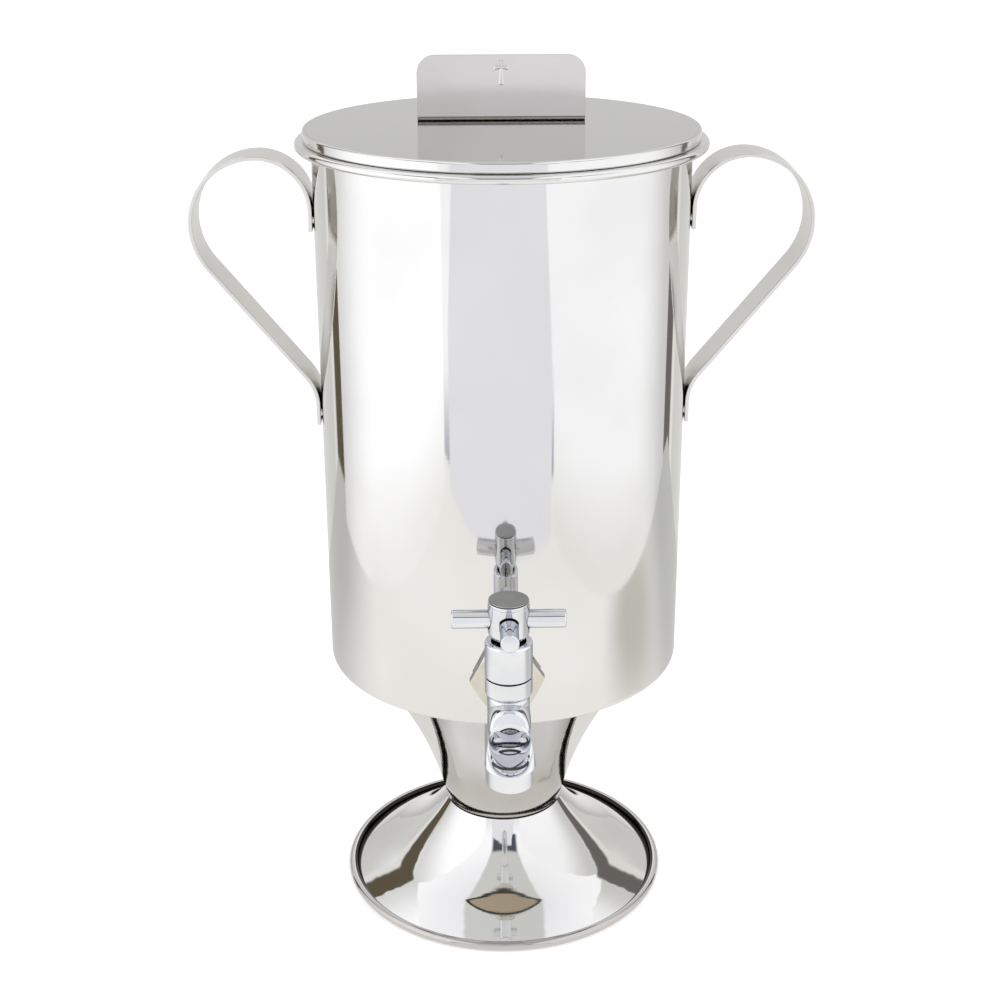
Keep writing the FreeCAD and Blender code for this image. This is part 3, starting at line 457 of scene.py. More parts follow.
@dataclass(frozen=True)
class BrightChrome(Finish):
    """Chrome plate: very smooth, slightly blue, with water marks, and painted shade in the spokes' seats,
    which are near black and rougher.
    """

    tint: Colour = (0.73, 0.738, 0.754, 1)
    shade: Colour = (0.67, 0.68, 0.70, 1)
    shaded: Pair = (0.3, 0.7)
    edge: Colour = (0.45, 0.48, 0.55, 1)
    roughness: float = 0.03
    cloud_scale: float = 60.0
    cloud_roughness: float = 0.02
    spot_scale: float = 420.0
    spotted: Pair = (0.62, 0.72)
    spot_roughness: float = 0.04
    seats: Triple = (0, -0.134, 0.219)
    seat_depth: Pair = (0.0095, 0.0097)
    seat_height: float = 0.0052
    seat_soft: float = 0.0001
    # Painted shade in the spokes' seats, and their extra roughness:
    seat_painted_shade: Colour = (0.035, 0.024, 0.014, 1)
    seat_roughness: float = 0.4
    wave_scale: float = 120.0
    wave_depth: float = 0.00002
    wave_strength: float = 0.4

    def surface(self, graph: Graph) -> dict[str | int, SocketValue]:
        """Build the plate's colour, roughness and normal.

        Args:
            graph: The node tree to build in.

        Returns:
            Values and links by socket name.
        """
        cloud = graph.noise(graph.place(), self.cloud_scale, detail=3)
        spots = graph.noise(graph.place(), self.spot_scale, detail=2).rise(*self.spotted)
        waves = graph.noise(graph.place(), self.wave_scale, detail=1)
        plate = graph.blend(cloud.rise(*self.shaded), self.tint, self.shade)
        # Painted shade: the spokes' seats are painted near black.
        radius, height = graph.around(centre=self.seats)
        sunk = 1 - radius.rise(*self.seat_depth)
        sunk = sunk * height.between(-self.seat_height, self.seat_height, self.seat_soft)
        marks = cloud * self.cloud_roughness + spots * self.spot_roughness + sunk * self.seat_roughness
        return {
            "Base Color": graph.blend(sunk, plate, self.seat_painted_shade),
            "Metallic": 1.0,
            "Specular Tint": self.edge,
            "Roughness": self.roughness + marks,
            "Normal": graph.bump(waves, self.wave_depth, self.wave_strength),
        }


@dataclass(frozen=True)
class TurnedBrass(Finish):
    """Machined brass with turning marks about the tap's stem."""

    centre: Triple = (0, -0.134, 0.169)
    tint: Colour = (0.74, 0.55, 0.25, 1)
    shade: Colour = (0.60, 0.42, 0.18, 1)
    stain_scale: float = 90.0
    toned: Pair = (0.35, 0.7)
    roughness: float = 0.22
    mark_scale: float = 2600.0
    mark_roughness: float = 0.16
    mark_depth: float = 0.00004
    mark_strength: float = 0.5

    def surface(self, graph: Graph) -> dict[str | int, SocketValue]:
        """Build the brass's colour, roughness and normal.

        Args:
            graph: The node tree to build in.

        Returns:
            Values and links by socket name.
        """
        marks = graph.noise(graph.rings(self.mark_scale, self.centre), scale=1, detail=2)
        darker_tone = graph.noise(graph.place(), self.stain_scale, detail=3)
        return {
            "Base Color": graph.blend(darker_tone.rise(*self.toned), self.tint, self.shade),
            "Metallic": 1.0,
            "Roughness": self.roughness + marks * self.mark_roughness,
            "Normal": graph.bump(marks, self.mark_depth, self.mark_strength),
        }


@dataclass(frozen=True)
class GrainedSurface(Finish):
    """A surface that isn't metal, with soft patches of a second colour and a fine grain."""

    tint: Colour
    patch: Colour
    patch_scale: float
    patch_detail: float
    patched: Pair
    roughness: float
    grain_scale: float
    grain_detail: float
    grain_roughness: float
    grain_depth: float
    grain_strength: float

    def surface(self, graph: Graph) -> dict[str | int, SocketValue]:
        """Build the surface's colour, roughness and normal.

        Args:
            graph: The node tree to build in.

        Returns:
            Values and links by socket name.
        """
        patches = graph.noise(graph.place(), self.patch_scale, self.patch_detail)
        grain = graph.noise(graph.place(), self.grain_scale, self.grain_detail)
        return {
            "Base Color": graph.blend(patches.rise(*self.patched), self.tint, self.patch),
            "Roughness": self.roughness + grain * self.grain_roughness,
            "Normal": graph.bump(grain, self.grain_depth, self.grain_strength),
        }


# Tank: painted shade, darker and browner, on the underside, and a near-black ring of painted shade at the
# lower edge.
TANK_STEEL = TankSteel("tank_steel", Slot.STEEL, roughness=0.035, smear=0.045)
# Neck: a darker tint than the tank's, and a darker band and a dark line at its lower edge over the foot, all
# painted shade.
NECK_STEEL = DullAndShadedSteel("neck_steel", Slot.STEEL, tint=(0.63, 0.615, 0.59, 1), shade=(0.55, 0.535, 0.51, 1),
                          roughness=0.05, smear=0.05, ripple=0.00004, dent=0.00012,
                          darker_tone=(0.47, 0.455, 0.43, 1), dull_and_shade_heights=(0.04, 0.0484),
                          dull_and_shade_radii=(0.03, 0.034), painted_shade_heights=(0.04, 0.0476), painted_shade_radii=(0.03, 0.034))
# Foot: the bead painted darker and its crease near black, both painted shade.
FOOT_STEEL = DullAndShadedSteel("foot_steel", Slot.STEEL, roughness=0.03, smear=0.03, ripple=0.00018, dent=0.00012,
                          darker_tone=(0.5, 0.48, 0.46, 1), dull_and_shade_heights=(-0.01, 0.006), dull_and_shade_radii=(0.0866, 0.1),
                          painted_shade_heights=(-0.01, 0.006), painted_shade_radii=(0.0841, 0.0860))
LID_STEEL = DullAndShadedSteel("lid_steel", Slot.STEEL, roughness=0.06, smear=0.05, darker_tone=(0.535, 0.525, 0.51, 1),
                         dull_and_shade_heights=(0.4216, 0.43))
PLATE_STEEL = MirrorSteel("plate_steel", Slot.STEEL, lay=Lay.ACROSS, tint=(0.655, 0.64, 0.615, 1),
                          shade=(0.58, 0.565, 0.54, 1), roughness=0.12, smear=0.08)
STRAP_STEEL = MirrorSteel("strap_steel", Slot.STEEL, lay=Lay.ACROSS, tint=(0.72, 0.705, 0.67, 1),
                          shade=(0.66, 0.645, 0.61, 1), roughness=0.15, smear=0.08)
SMALL_STEEL = MirrorSteel("small_steel", Slot.STEEL, roughness=0.16, smear=0.1)
CHROME = BrightChrome("bright_chrome", Slot.CHROME)
SATIN_CAP = BrightChrome("satin_cap", Slot.CHROME, tint=(0.45, 0.45, 0.42, 1),
                         shade=(0.40, 0.40, 0.37, 1), roughness=0.3)
WARM_NICKEL = BrightChrome("warm_nickel", Slot.CHROME, tint=(0.62, 0.585, 0.51, 1),
                           shade=(0.56, 0.525, 0.45, 1), roughness=0.1)
BRASS = TurnedBrass("turned_brass", Slot.BRASS)
# The cartridge inside the bonnet is painted near black: painted shade.
BRASS_IN_PAINTED_SHADE = TurnedBrass("brass_painted_shade", Slot.BRASS, tint=(0.16, 0.12, 0.06, 1), shade=(0.08, 0.06, 0.03, 1))
RUBBER = GrainedSurface(
    "black_rubber", Slot.RUBBER, tint=(0.022, 0.022, 0.024, 1), patch=(0.075, 0.072, 0.068, 1),
    patch_scale=110, patch_detail=3, patched=(0.45, 0.85), roughness=0.62,
    grain_scale=900, grain_detail=3, grain_roughness=0.2, grain_depth=0.0001, grain_strength=0.4)
CERAMIC = GrainedSurface(
    "lapped_ceramic", Slot.CERAMIC, tint=(0.84, 0.83, 0.80, 1), patch=(0.70, 0.68, 0.64, 1),
    patch_scale=1800, patch_detail=2, patched=(0.55, 0.75), roughness=0.16,
    grain_scale=1800, grain_detail=2, grain_roughness=0.1, grain_depth=0.00001, grain_strength=0.3)
PLASTIC = GrainedSurface(
    "white_plastic", Slot.PLASTIC, tint=(0.80, 0.80, 0.78, 1), patch=(0.70, 0.69, 0.66, 1),
    patch_scale=160, patch_detail=3, patched=(0.4, 0.8), roughness=0.36,
    grain_scale=1400, grain_detail=2, grain_roughness=0.14, grain_depth=0.00004, grain_strength=0.4)


def dress(piece: bpy.types.Object, finish: Finish, body: Body, *nodes: str) -> None:
    """Give a new piece its finish and body, and let it stand for CAD nodes.

    Args:
        piece: The finished mesh.
        finish: Its surface.
        body: The body that it rides on.
        nodes: The CAD nodes that it replaces.
    """
    piece.data.materials.clear()
    piece.data.materials.append(finish.material())
    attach(piece, body.value)
    if nodes:
        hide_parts(*nodes)
    LOG.info("%s: %d faces on %s", piece.name, len(piece.data.polygons), body.value)


def to_object_mode() -> None:
    """Leave edit mode, with nothing selected."""
    if bpy.context.mode != "OBJECT":
        bpy.ops.object.mode_set(mode="OBJECT")
    bpy.ops.object.select_all(action="DESELECT")


def pick(piece: bpy.types.Object) -> None:
    """Select one object alone and make it active.

    Args:
        piece: The object.
    """
    to_object_mode()
    piece.select_set(True)
    bpy.context.view_layer.objects.active = piece


def apply_modifier(piece: bpy.types.Object, kind: str, **settings: object) -> None:
    """Add a modifier and apply it at once.

    Args:
        piece: The object to change.
        kind: The modifier's type.
        settings: Its properties.
    """
    pick(piece)
    modifier = piece.modifiers.new(kind.lower(), kind)
    for name, value in settings.items():
        setattr(modifier, name, value)
    bpy.ops.object.modifier_apply(modifier=modifier.name)


def smooth(piece: bpy.types.Object, angle: float = SMOOTH_ANGLE) -> bpy.types.Object:
    """Shade a piece smooth up to an angle, with flat faces kept flat.

    Args:
        piece: The object to shade.
        angle: The sharpest smooth edge, in degrees.

    Returns:
        The same object.
    """
    pick(piece)
    bpy.ops.object.shade_smooth_by_angle(angle=math.radians(angle))
    apply_modifier(piece, "WEIGHTED_NORMAL", keep_sharp=True, weight=100)
    return piece


def close_seams() -> None:
    """In edit mode, merge doubled vertices and turn all faces outwards."""
    bpy.ops.mesh.select_all(action="SELECT")
    bpy.ops.mesh.remove_doubles(threshold=MERGE_DISTANCE)
    bpy.ops.mesh.normals_make_consistent(inside=False)


def select_vertices(piece: bpy.types.Object, wanted: Callable[[Vector], bool]) -> None:
    """In edit mode, select the vertices at wanted places, in millimetres.

    Args:
        piece: The object in edit mode.
        wanted: Says whether a place is selected.
    """
    bpy.ops.mesh.select_all(action="DESELECT")
    mesh = bmesh.from_edit_mesh(piece.data)
    for vertex in mesh.verts:
        vertex.select = wanted(vertex.co / MM)
    mesh.select_flush_mode()
    bmesh.update_edit_mesh(piece.data)


@dataclass(frozen=True)
class Board:
    """A drawing board in space: a base point and two directions, across and along."""

    base: Triple = (0, 0, 0)
    across: Triple = (1, 0, 0)
    along: Triple = (0, 0, 1)

    def point(self, across: float, along: float) -> Vector:
        """The place, in metres, of a point on the board."""
        return (Vector(self.base) + Vector(self.across) * across + Vector(self.along) * along) * MM

    def normal(self) -> Vector:
        """The direction about which a left turn on the board is positive for a spin."""
        return Vector(self.along).cross(Vector(self.across))


STEM = (0, -134, 0)
NOZZLE = (0, -161, 0)
INLET_HEIGHT = 169.0
AXIS_BOARD = Board()
STEM_BOARD = Board(STEM)
NOZZLE_BOARD = Board(NOZZLE)
INLET_BOARD = Board((0, 0, INLET_HEIGHT), (1, 0, 0), (0, -1, 0))


def arc_centre(start: Pair, end: Pair, radius: float, turn: Turn) -> Pair:
    """The centre of the shorter arc between two points.

    Args:
        start: Where the arc starts.
        end: Where it ends.
        radius: Its radius.
        turn: Which way it turns on its way.

    Returns:
        The centre on the same board.
    """
    across = end[0] - start[0]
    along = end[1] - start[1]
    chord = math.hypot(across, along)
    rise = turn.value * math.sqrt(max(radius ** 2 - chord ** 2 / 4, 0.0))
    return ((start[0] + end[0]) / 2 - rise * along / chord, (start[1] + end[1]) / 2 + rise * across / chord)


def circles_meet(first: Vector, first_radius: float, second: Vector, second_radius: float) -> Vector:
    """Where two circles meet, to the right of the way from the first centre to the second.

    Args:
        first: Centre of the first circle.
        first_radius: Its radius.
        second: Centre of the second circle.
        second_radius: Its radius.

    Returns:
        The meeting point.
    """
    way = second - first
    apart = way.length_squared
    share = (first_radius ** 2 - second_radius ** 2 + apart) / (2 * apart)
    offset = math.sqrt(first_radius ** 2 / apart - share ** 2)
    return first + way * share + Vector((way.y, -way.x)) * offset


class Outline:
    """An outline drawn point by point in edit mode, then turned or drawn out into a piece."""

    def __init__(self, name: str, board: Board, across: float, along: float) -> None:
        """Start an outline with one vertex.

        Args:
            name: The piece's name.
            board: The drawing board.
            across: First coordinate of the start.
            along: Second coordinate of the start.
        """
        to_object_mode()
        bpy.ops.mesh.primitive_plane_add(size=MM, enter_editmode=True, location=(0, 0, 0))
        self.piece = bpy.context.object
        self.piece.name = name
        self.piece.data.name = name
        self.board = board
        self.start = (across, along)
        self.here = (across, along)
        bpy.ops.mesh.select_all(action="SELECT")
        bpy.ops.mesh.merge(type="CENTER")
        bpy.ops.transform.translate(value=board.point(across, along))

    def line(self, across: float, along: float) -> "Outline":
        """Draw a straight line to a point.

        Args:
            across: First coordinate of the point.
            along: Its second coordinate.

        Returns:
            The outline itself.
        """
        step = self.board.point(across, along) - self.board.point(*self.here)
        bpy.ops.mesh.extrude_region_move(TRANSFORM_OT_translate={"value": step})
        self.here = (across, along)
        return self

    def lines(self, *points: Pair) -> "Outline":
        """Draw straight lines through points in turn.

        Args:
            points: The points in order.

        Returns:
            The outline itself.
        """
        for point in points:
            self.line(*point)
        return self

    def arc(self, across: float, along: float, radius: float, turn: Turn, steps: int = 8) -> "Outline":
        """Draw an arc to a point.

        Args:
            across: First coordinate of the arc's end.
            along: Second coordinate of the arc's end.
            radius: The arc's radius.
            turn: Which way it turns.
            steps: How many straight steps it has.

        Returns:
            The outline itself.
        """
        end = (across, along)
        centre = arc_centre(self.here, end, radius, turn)
        from_angle = math.atan2(self.here[1] - centre[1], self.here[0] - centre[0])
        to_angle = math.atan2(end[1] - centre[1], end[0] - centre[0])
        sweep = (to_angle - from_angle) * turn.value % FULL_TURN * turn.value
        bpy.ops.mesh.spin(steps=steps, dupli=False, angle=sweep, center=self.board.point(*centre),
                          axis=self.board.normal())
        self.here = end
        return self

    def close(self) -> "Outline":
        """Draw the last line back to the start."""
        return self.line(*self.start)

    def turned(self, steps: int = 96, angle: float = SMOOTH_ANGLE) -> bpy.types.Object:
        """Turn the outline all round the board's own axis.

        Args:
            steps: How many steps the turn has.
            angle: The sharpest edge that is shaded smooth, in degrees.

        Returns:
            The finished piece.
        """
        bpy.ops.mesh.select_all(action="SELECT")
        bpy.ops.mesh.remove_doubles(threshold=MERGE_DISTANCE)
        bpy.ops.mesh.select_all(action="SELECT")
        bpy.ops.mesh.spin(steps=steps, dupli=False, angle=FULL_TURN, use_auto_merge=True,
                          center=self.board.point(0, 0), axis=self.board.along)
        close_seams()
        return smooth(self.piece, angle)

    def drawn_out(self, move: Triple) -> bpy.types.Object:
        """Draw the outline out into a sheet.

        Args:
            move: How far and which way, in millimetres.

        Returns:
            The sheet, in object mode.
        """
        bpy.ops.mesh.select_all(action="SELECT")
        bpy.ops.mesh.extrude_region_move(TRANSFORM_OT_translate={"value": Vector(move) * MM})
        close_seams()
        bpy.ops.object.mode_set(mode="OBJECT")
        return self.piece


def copy_of(piece: bpy.types.Object, name: str) -> bpy.types.Object:
    """A copy of a piece with its own mesh.

    Args:
        piece: The piece to copy.
        name: The copy's name.

    Returns:
        The copy.
    """
    twin = piece.copy()
    twin.data = piece.data.copy()
    twin.name = name
    twin.data.name = name
    bpy.context.scene.collection.objects.link(twin)
    return twin


def swing(piece: bpy.types.Object, degrees: float, centre: Triple) -> None:
    """Turn a piece's mesh about an upright axis.

    Args:
        piece: The piece to turn.
        degrees: How far, anticlockwise from above.
        centre: A point of the axis, in millimetres.
    """
    pick(piece)
    bpy.ops.object.mode_set(mode="EDIT")
    bpy.ops.mesh.select_all(action="SELECT")
    bpy.ops.transform.rotate(value=-math.radians(degrees), orient_axis="Z", orient_type="GLOBAL",
                             center_override=Vector(centre) * MM)
    bpy.ops.object.mode_set(mode="OBJECT")


def joined(name: str, pieces: Iterable[bpy.types.Object]) -> bpy.types.Object:
    """Several meshes as one object.

    Args:
        name: The object's name.
        pieces: The meshes; the first one stays.

    Returns:
        The joined object.
    """
    members = list(pieces)
    pick(members[0])
    for member in members[1:]:
        member.select_set(True)
    bpy.ops.object.join()
    members[0].name = name
    members[0].data.name = name
    return members[0]


@dataclass
class Tank:
    """The spun tank: floor, wall and a rim that rolls outwards and under."""

    radius: float = 93.5
    wall: float = 1.0
    floor: float = 139.5
    edge: float = 3.0
    rim: float = 416.5
    rim_bend: float = 1.0
    curl: float = 2.1
    curl_centre: float = 99.4
    steps: int = 192

    def build(self) -> None:
        """Model the shell and dress it."""
        wall = self.wall
        under = self.rim - wall
        inside = self.radius - wall
        bore = self.curl - wall
        curl_height = self.rim - self.curl
        shell = Outline("tank_shell_polished", AXIS_BOARD, 0, self.floor)
        shell.line(self.radius - self.edge, self.floor)
        shell.arc(self.radius, self.floor + self.edge, self.edge, Turn.LEFT, 14)
        shell.line(self.radius, under - self.rim_bend)
        shell.arc(self.radius + self.rim_bend, under, self.rim_bend, Turn.RIGHT, 6)
        shell.line(self.curl_centre, under)
        shell.arc(self.curl_centre + bore, curl_height, bore, Turn.RIGHT, 6)
        shell.arc(self.curl_centre, curl_height - bore, bore, Turn.RIGHT, 6)
        shell.line(self.curl_centre, curl_height - self.curl)
        shell.arc(self.curl_centre + self.curl, curl_height, self.curl, Turn.LEFT, 10)
        shell.arc(self.curl_centre, self.rim, self.curl, Turn.LEFT, 10)
        shell.line(self.radius + self.rim_bend, self.rim)
        shell.arc(inside, under - self.rim_bend, self.rim_bend + wall, Turn.LEFT, 8)
        shell.line(inside, self.floor + self.edge)
        shell.arc(self.radius - self.edge, self.floor + wall, self.edge - wall, Turn.RIGHT, 10)
        shell.line(0, self.floor + wall)
        dress(shell.turned(self.steps), TANK_STEEL, Body.VESSEL, "tank_shell")


@dataclass
class Pedestal:
    """The spun pedestal: a trumpet neck that laps over a hollow flared foot with a rolled bead."""

    wall: float = 1.0
    waist: float = 32.6
    neck_bottom: float = 48.0
    neck_collar: float = 0.2
    neck_lap: float = 1.75
    neck_ease: float = 0.3
    neck_top: float = 139.5
    neck_top_radius: float = 78.0
    neck_curve: float = 225.0
    neck_flange: float = 9.0
    foot_collar: float = 31.5
    foot_top: float = 58.0
    foot_curve: float = 99.0
    foot_reach: float = 84.6
    foot_roll: float = 284.0
    crease_radius: float = 84.75
    crease_height: float = 1.81
    crease_step: float = 3.68
    bead: float = 2.5
    bead_centre: float = 86.8
    bead_height: float = 2.25
    flat_radius: float = 87.89
    steps: int = 192

    def build(self) -> None:
        """Model neck and foot and dress them."""
        dress(self.neck(), NECK_STEEL, Body.VESSEL, "pedestal_neck")
        dress(self.foot(), FOOT_STEEL, Body.VESSEL, "pedestal_foot")

    def neck(self) -> bpy.types.Object:
        """The trumpet, with its collar below and its flange under the tank.

        Returns:
            The neck.
        """
        start = (self.waist, self.neck_bottom + self.neck_collar)
        end = (self.neck_top_radius, self.neck_top)
        centre = arc_centre(start, end, self.neck_curve, Turn.RIGHT)
        inner = self.neck_curve + self.wall
        flange = self.neck_top_radius - self.neck_flange
        flange_under = self.neck_top - self.wall

        def inside(height: float) -> float:
            """Inner radius of the wall at a height."""
            return centre[0] - math.sqrt(inner ** 2 - (height - centre[1]) ** 2)

        bottom = self.neck_bottom - self.neck_lap
        ease = self.neck_ease
        neck = Outline("neck_spun", AXIS_BOARD, self.waist - self.wall, bottom)
        neck.line(self.waist - ease, bottom)
        neck.arc(self.waist, bottom + ease, ease, Turn.LEFT, 4)
        neck.line(*start)
        neck.arc(*end, self.neck_curve, Turn.RIGHT, 40)
        neck.lines((flange, self.neck_top), (flange, flange_under), (inside(flange_under), flange_under))
        neck.arc(inside(start[1]), start[1], inner, Turn.LEFT, 30)
        neck.close()
        return neck.turned(self.steps)

    def foot(self) -> bpy.types.Object:
        """The flare, with its collar inside the neck and its bead on the ground.

        Returns:
            The foot.
        """
        start = (self.foot_collar, self.neck_bottom)
        end = (self.crease_radius, self.crease_height)
        inside = self.foot_collar - self.wall
        under_curve = self.foot_curve + self.wall
        under_roll = self.foot_roll - self.wall
        rise = math.sqrt(self.foot_curve ** 2 - self.foot_reach ** 2)
        hollow = Vector((self.foot_collar + self.foot_reach, self.neck_bottom + rise))
        crown = circles_meet(hollow, self.foot_curve + self.foot_roll, Vector(end), self.foot_roll)
        sway = (crown - hollow).normalized()
        under_collar = hollow.y - math.sqrt(under_curve ** 2 - (hollow.x - inside) ** 2)
        under_crease = crown.y + math.sqrt(under_roll ** 2 - (self.crease_radius - crown.x) ** 2)
        foot = Outline("foot_spun", AXIS_BOARD, self.foot_collar, self.foot_top)
        foot.line(*start)
        foot.arc(*(hollow + sway * self.foot_curve), self.foot_curve, Turn.LEFT, 44)
        foot.arc(*end, self.foot_roll, Turn.RIGHT, 22)
        foot.line(self.crease_radius, self.crease_step)
        foot.arc(self.bead_centre, self.bead_height + self.bead, self.bead, Turn.RIGHT, 8)
        foot.arc(self.bead_centre + self.bead, self.bead_height, self.bead, Turn.RIGHT, 10)
        foot.arc(self.flat_radius, 0, self.bead, Turn.RIGHT, 8)
        foot.lines((self.crease_radius, 0), (self.crease_radius, under_crease))
        foot.arc(*(hollow + sway * under_curve), under_roll, Turn.LEFT, 16)
        foot.arc(inside, under_collar, under_curve, Turn.RIGHT, 32)
        foot.line(inside, self.foot_top)
        foot.close()
        return foot.turned(self.steps)


@dataclass
class StrapHandle:
    """A flat strap bent into an ear on one side of the tank, with four flush rivets."""

    side: Side
    width: float = 25.0
    thickness: float = 2.0
    ease: float = 0.45
    ease_angle: float = 40.0
    back: float = 93.55
    tab_bottom: float = 372.0
    arch_start: float = 382.3
    inner_arch: float = 27.0
    outer_arch: float = 34.0
    side_arch: float = 36.0
    slope: float = 39.2
    lower_bend: float = 23.0
    lower_tab: float = 10.5
    rivet_offset: float = 7.0
    rivet_radius: float = 2.0
    rivet_head: float = 4.0
    rivet_head_height: float = 1.6
    rivet_heads_at: float = 91.84
    rivet_end_rim: float = 0.02
    rivet_end_edge: float = 0.12
    rivet_end_width: float = 0.25
    rivet_end_top: float = 0.15
    rivet_heights: Pair = (377.15, 276.7)

    def build(self) -> None:
        """Model the strap and its rivets and dress them."""
        label = self.side.name.lower()
        dress(self.strap(f"strap_{label}"), STRAP_STEEL, Body.VESSEL, f"handle_{label}")
        dress(self.rivets(f"strap_rivets_{label}"), SMALL_STEEL, Body.VESSEL, "handle_rivets")

    def strap(self, name: str) -> bpy.types.Object:
        """The bent strap, drawn along its outer face.

        Args:
            name: The piece's name.

        Returns:
            The strap.
        """
        tilt = math.radians(self.slope)
        front = self.back + self.thickness
        arch_x = self.back + self.inner_arch
        apex = self.arch_start + self.inner_arch
        side_z = apex - self.outer_arch
        side_x = arch_x + self.outer_arch - self.side_arch
        slope_start = (side_x + self.side_arch * math.cos(tilt), side_z - self.side_arch * math.sin(tilt))
        bend_x = front + self.lower_bend
        slope_end_x = bend_x - self.lower_bend * math.cos(tilt)
        slope_end_z = slope_start[1] - (slope_start[0] - slope_end_x) / math.tan(tilt)
        bend_z = slope_end_z - self.lower_bend * math.sin(tilt)
        board = Board((0, -self.width / 2, 0), (self.side.value, 0, 0), (0, 0, 1))
        path = Outline(name, board, self.back, self.tab_bottom)
        path.line(self.back, self.arch_start)
        path.arc(arch_x, apex, self.inner_arch, Turn.RIGHT, 22)
        path.arc(arch_x + self.outer_arch, side_z, self.outer_arch, Turn.RIGHT, 26)
        path.arc(*slope_start, self.side_arch, Turn.RIGHT, 14)
        path.line(slope_end_x, slope_end_z)
        path.arc(front, bend_z, self.lower_bend, Turn.LEFT, 14)
        path.line(front, bend_z - self.lower_tab)
        strap = path.drawn_out((0, self.width, 0))
        apply_modifier(strap, "SOLIDIFY", thickness=self.thickness * MM, offset=-self.outward(strap))
        apply_modifier(strap, "BEVEL", width=self.ease * MM, segments=3, limit_method="ANGLE",
                       angle_limit=math.radians(self.ease_angle))
        return smooth(strap)

    def outward(self, strap: bpy.types.Object) -> float:
        """1 if the sheet's faces point out of the ear, or else -1."""
        topmost = max(strap.data.polygons, key=lambda face: face.center.z)
        return 1.0 if topmost.normal.z > 0 else -1.0

    def rivets(self, name: str) -> bpy.types.Object:
        """Four rivets: domes inside the tank, ends just proud of the strap.

        Args:
            name: The piece's name.

        Returns:
            The rivets as one object.
        """
        made = []
        face = self.back + self.thickness
        dome = (self.rivet_head ** 2 + self.rivet_head_height ** 2) / (2 * self.rivet_head_height)
        for height in self.rivet_heights:
            for offset in (-self.rivet_offset, self.rivet_offset):
                board = Board((0, offset, height), (0, 0, 1), (self.side.value, 0, 0))
                rivet = Outline(name, board, 0, self.rivet_heads_at - self.rivet_head_height)
                rivet.arc(self.rivet_head, self.rivet_heads_at, dome, Turn.LEFT, 8)
                rivet.lines(
                    (self.rivet_radius, self.rivet_heads_at),
                    (self.rivet_radius, face + self.rivet_end_rim),
                    (self.rivet_radius - self.rivet_end_width, face + self.rivet_end_edge),
                    (0, face + self.rivet_end_top),
                )
                made.append(rivet.turned(28))
        return joined(name, made)


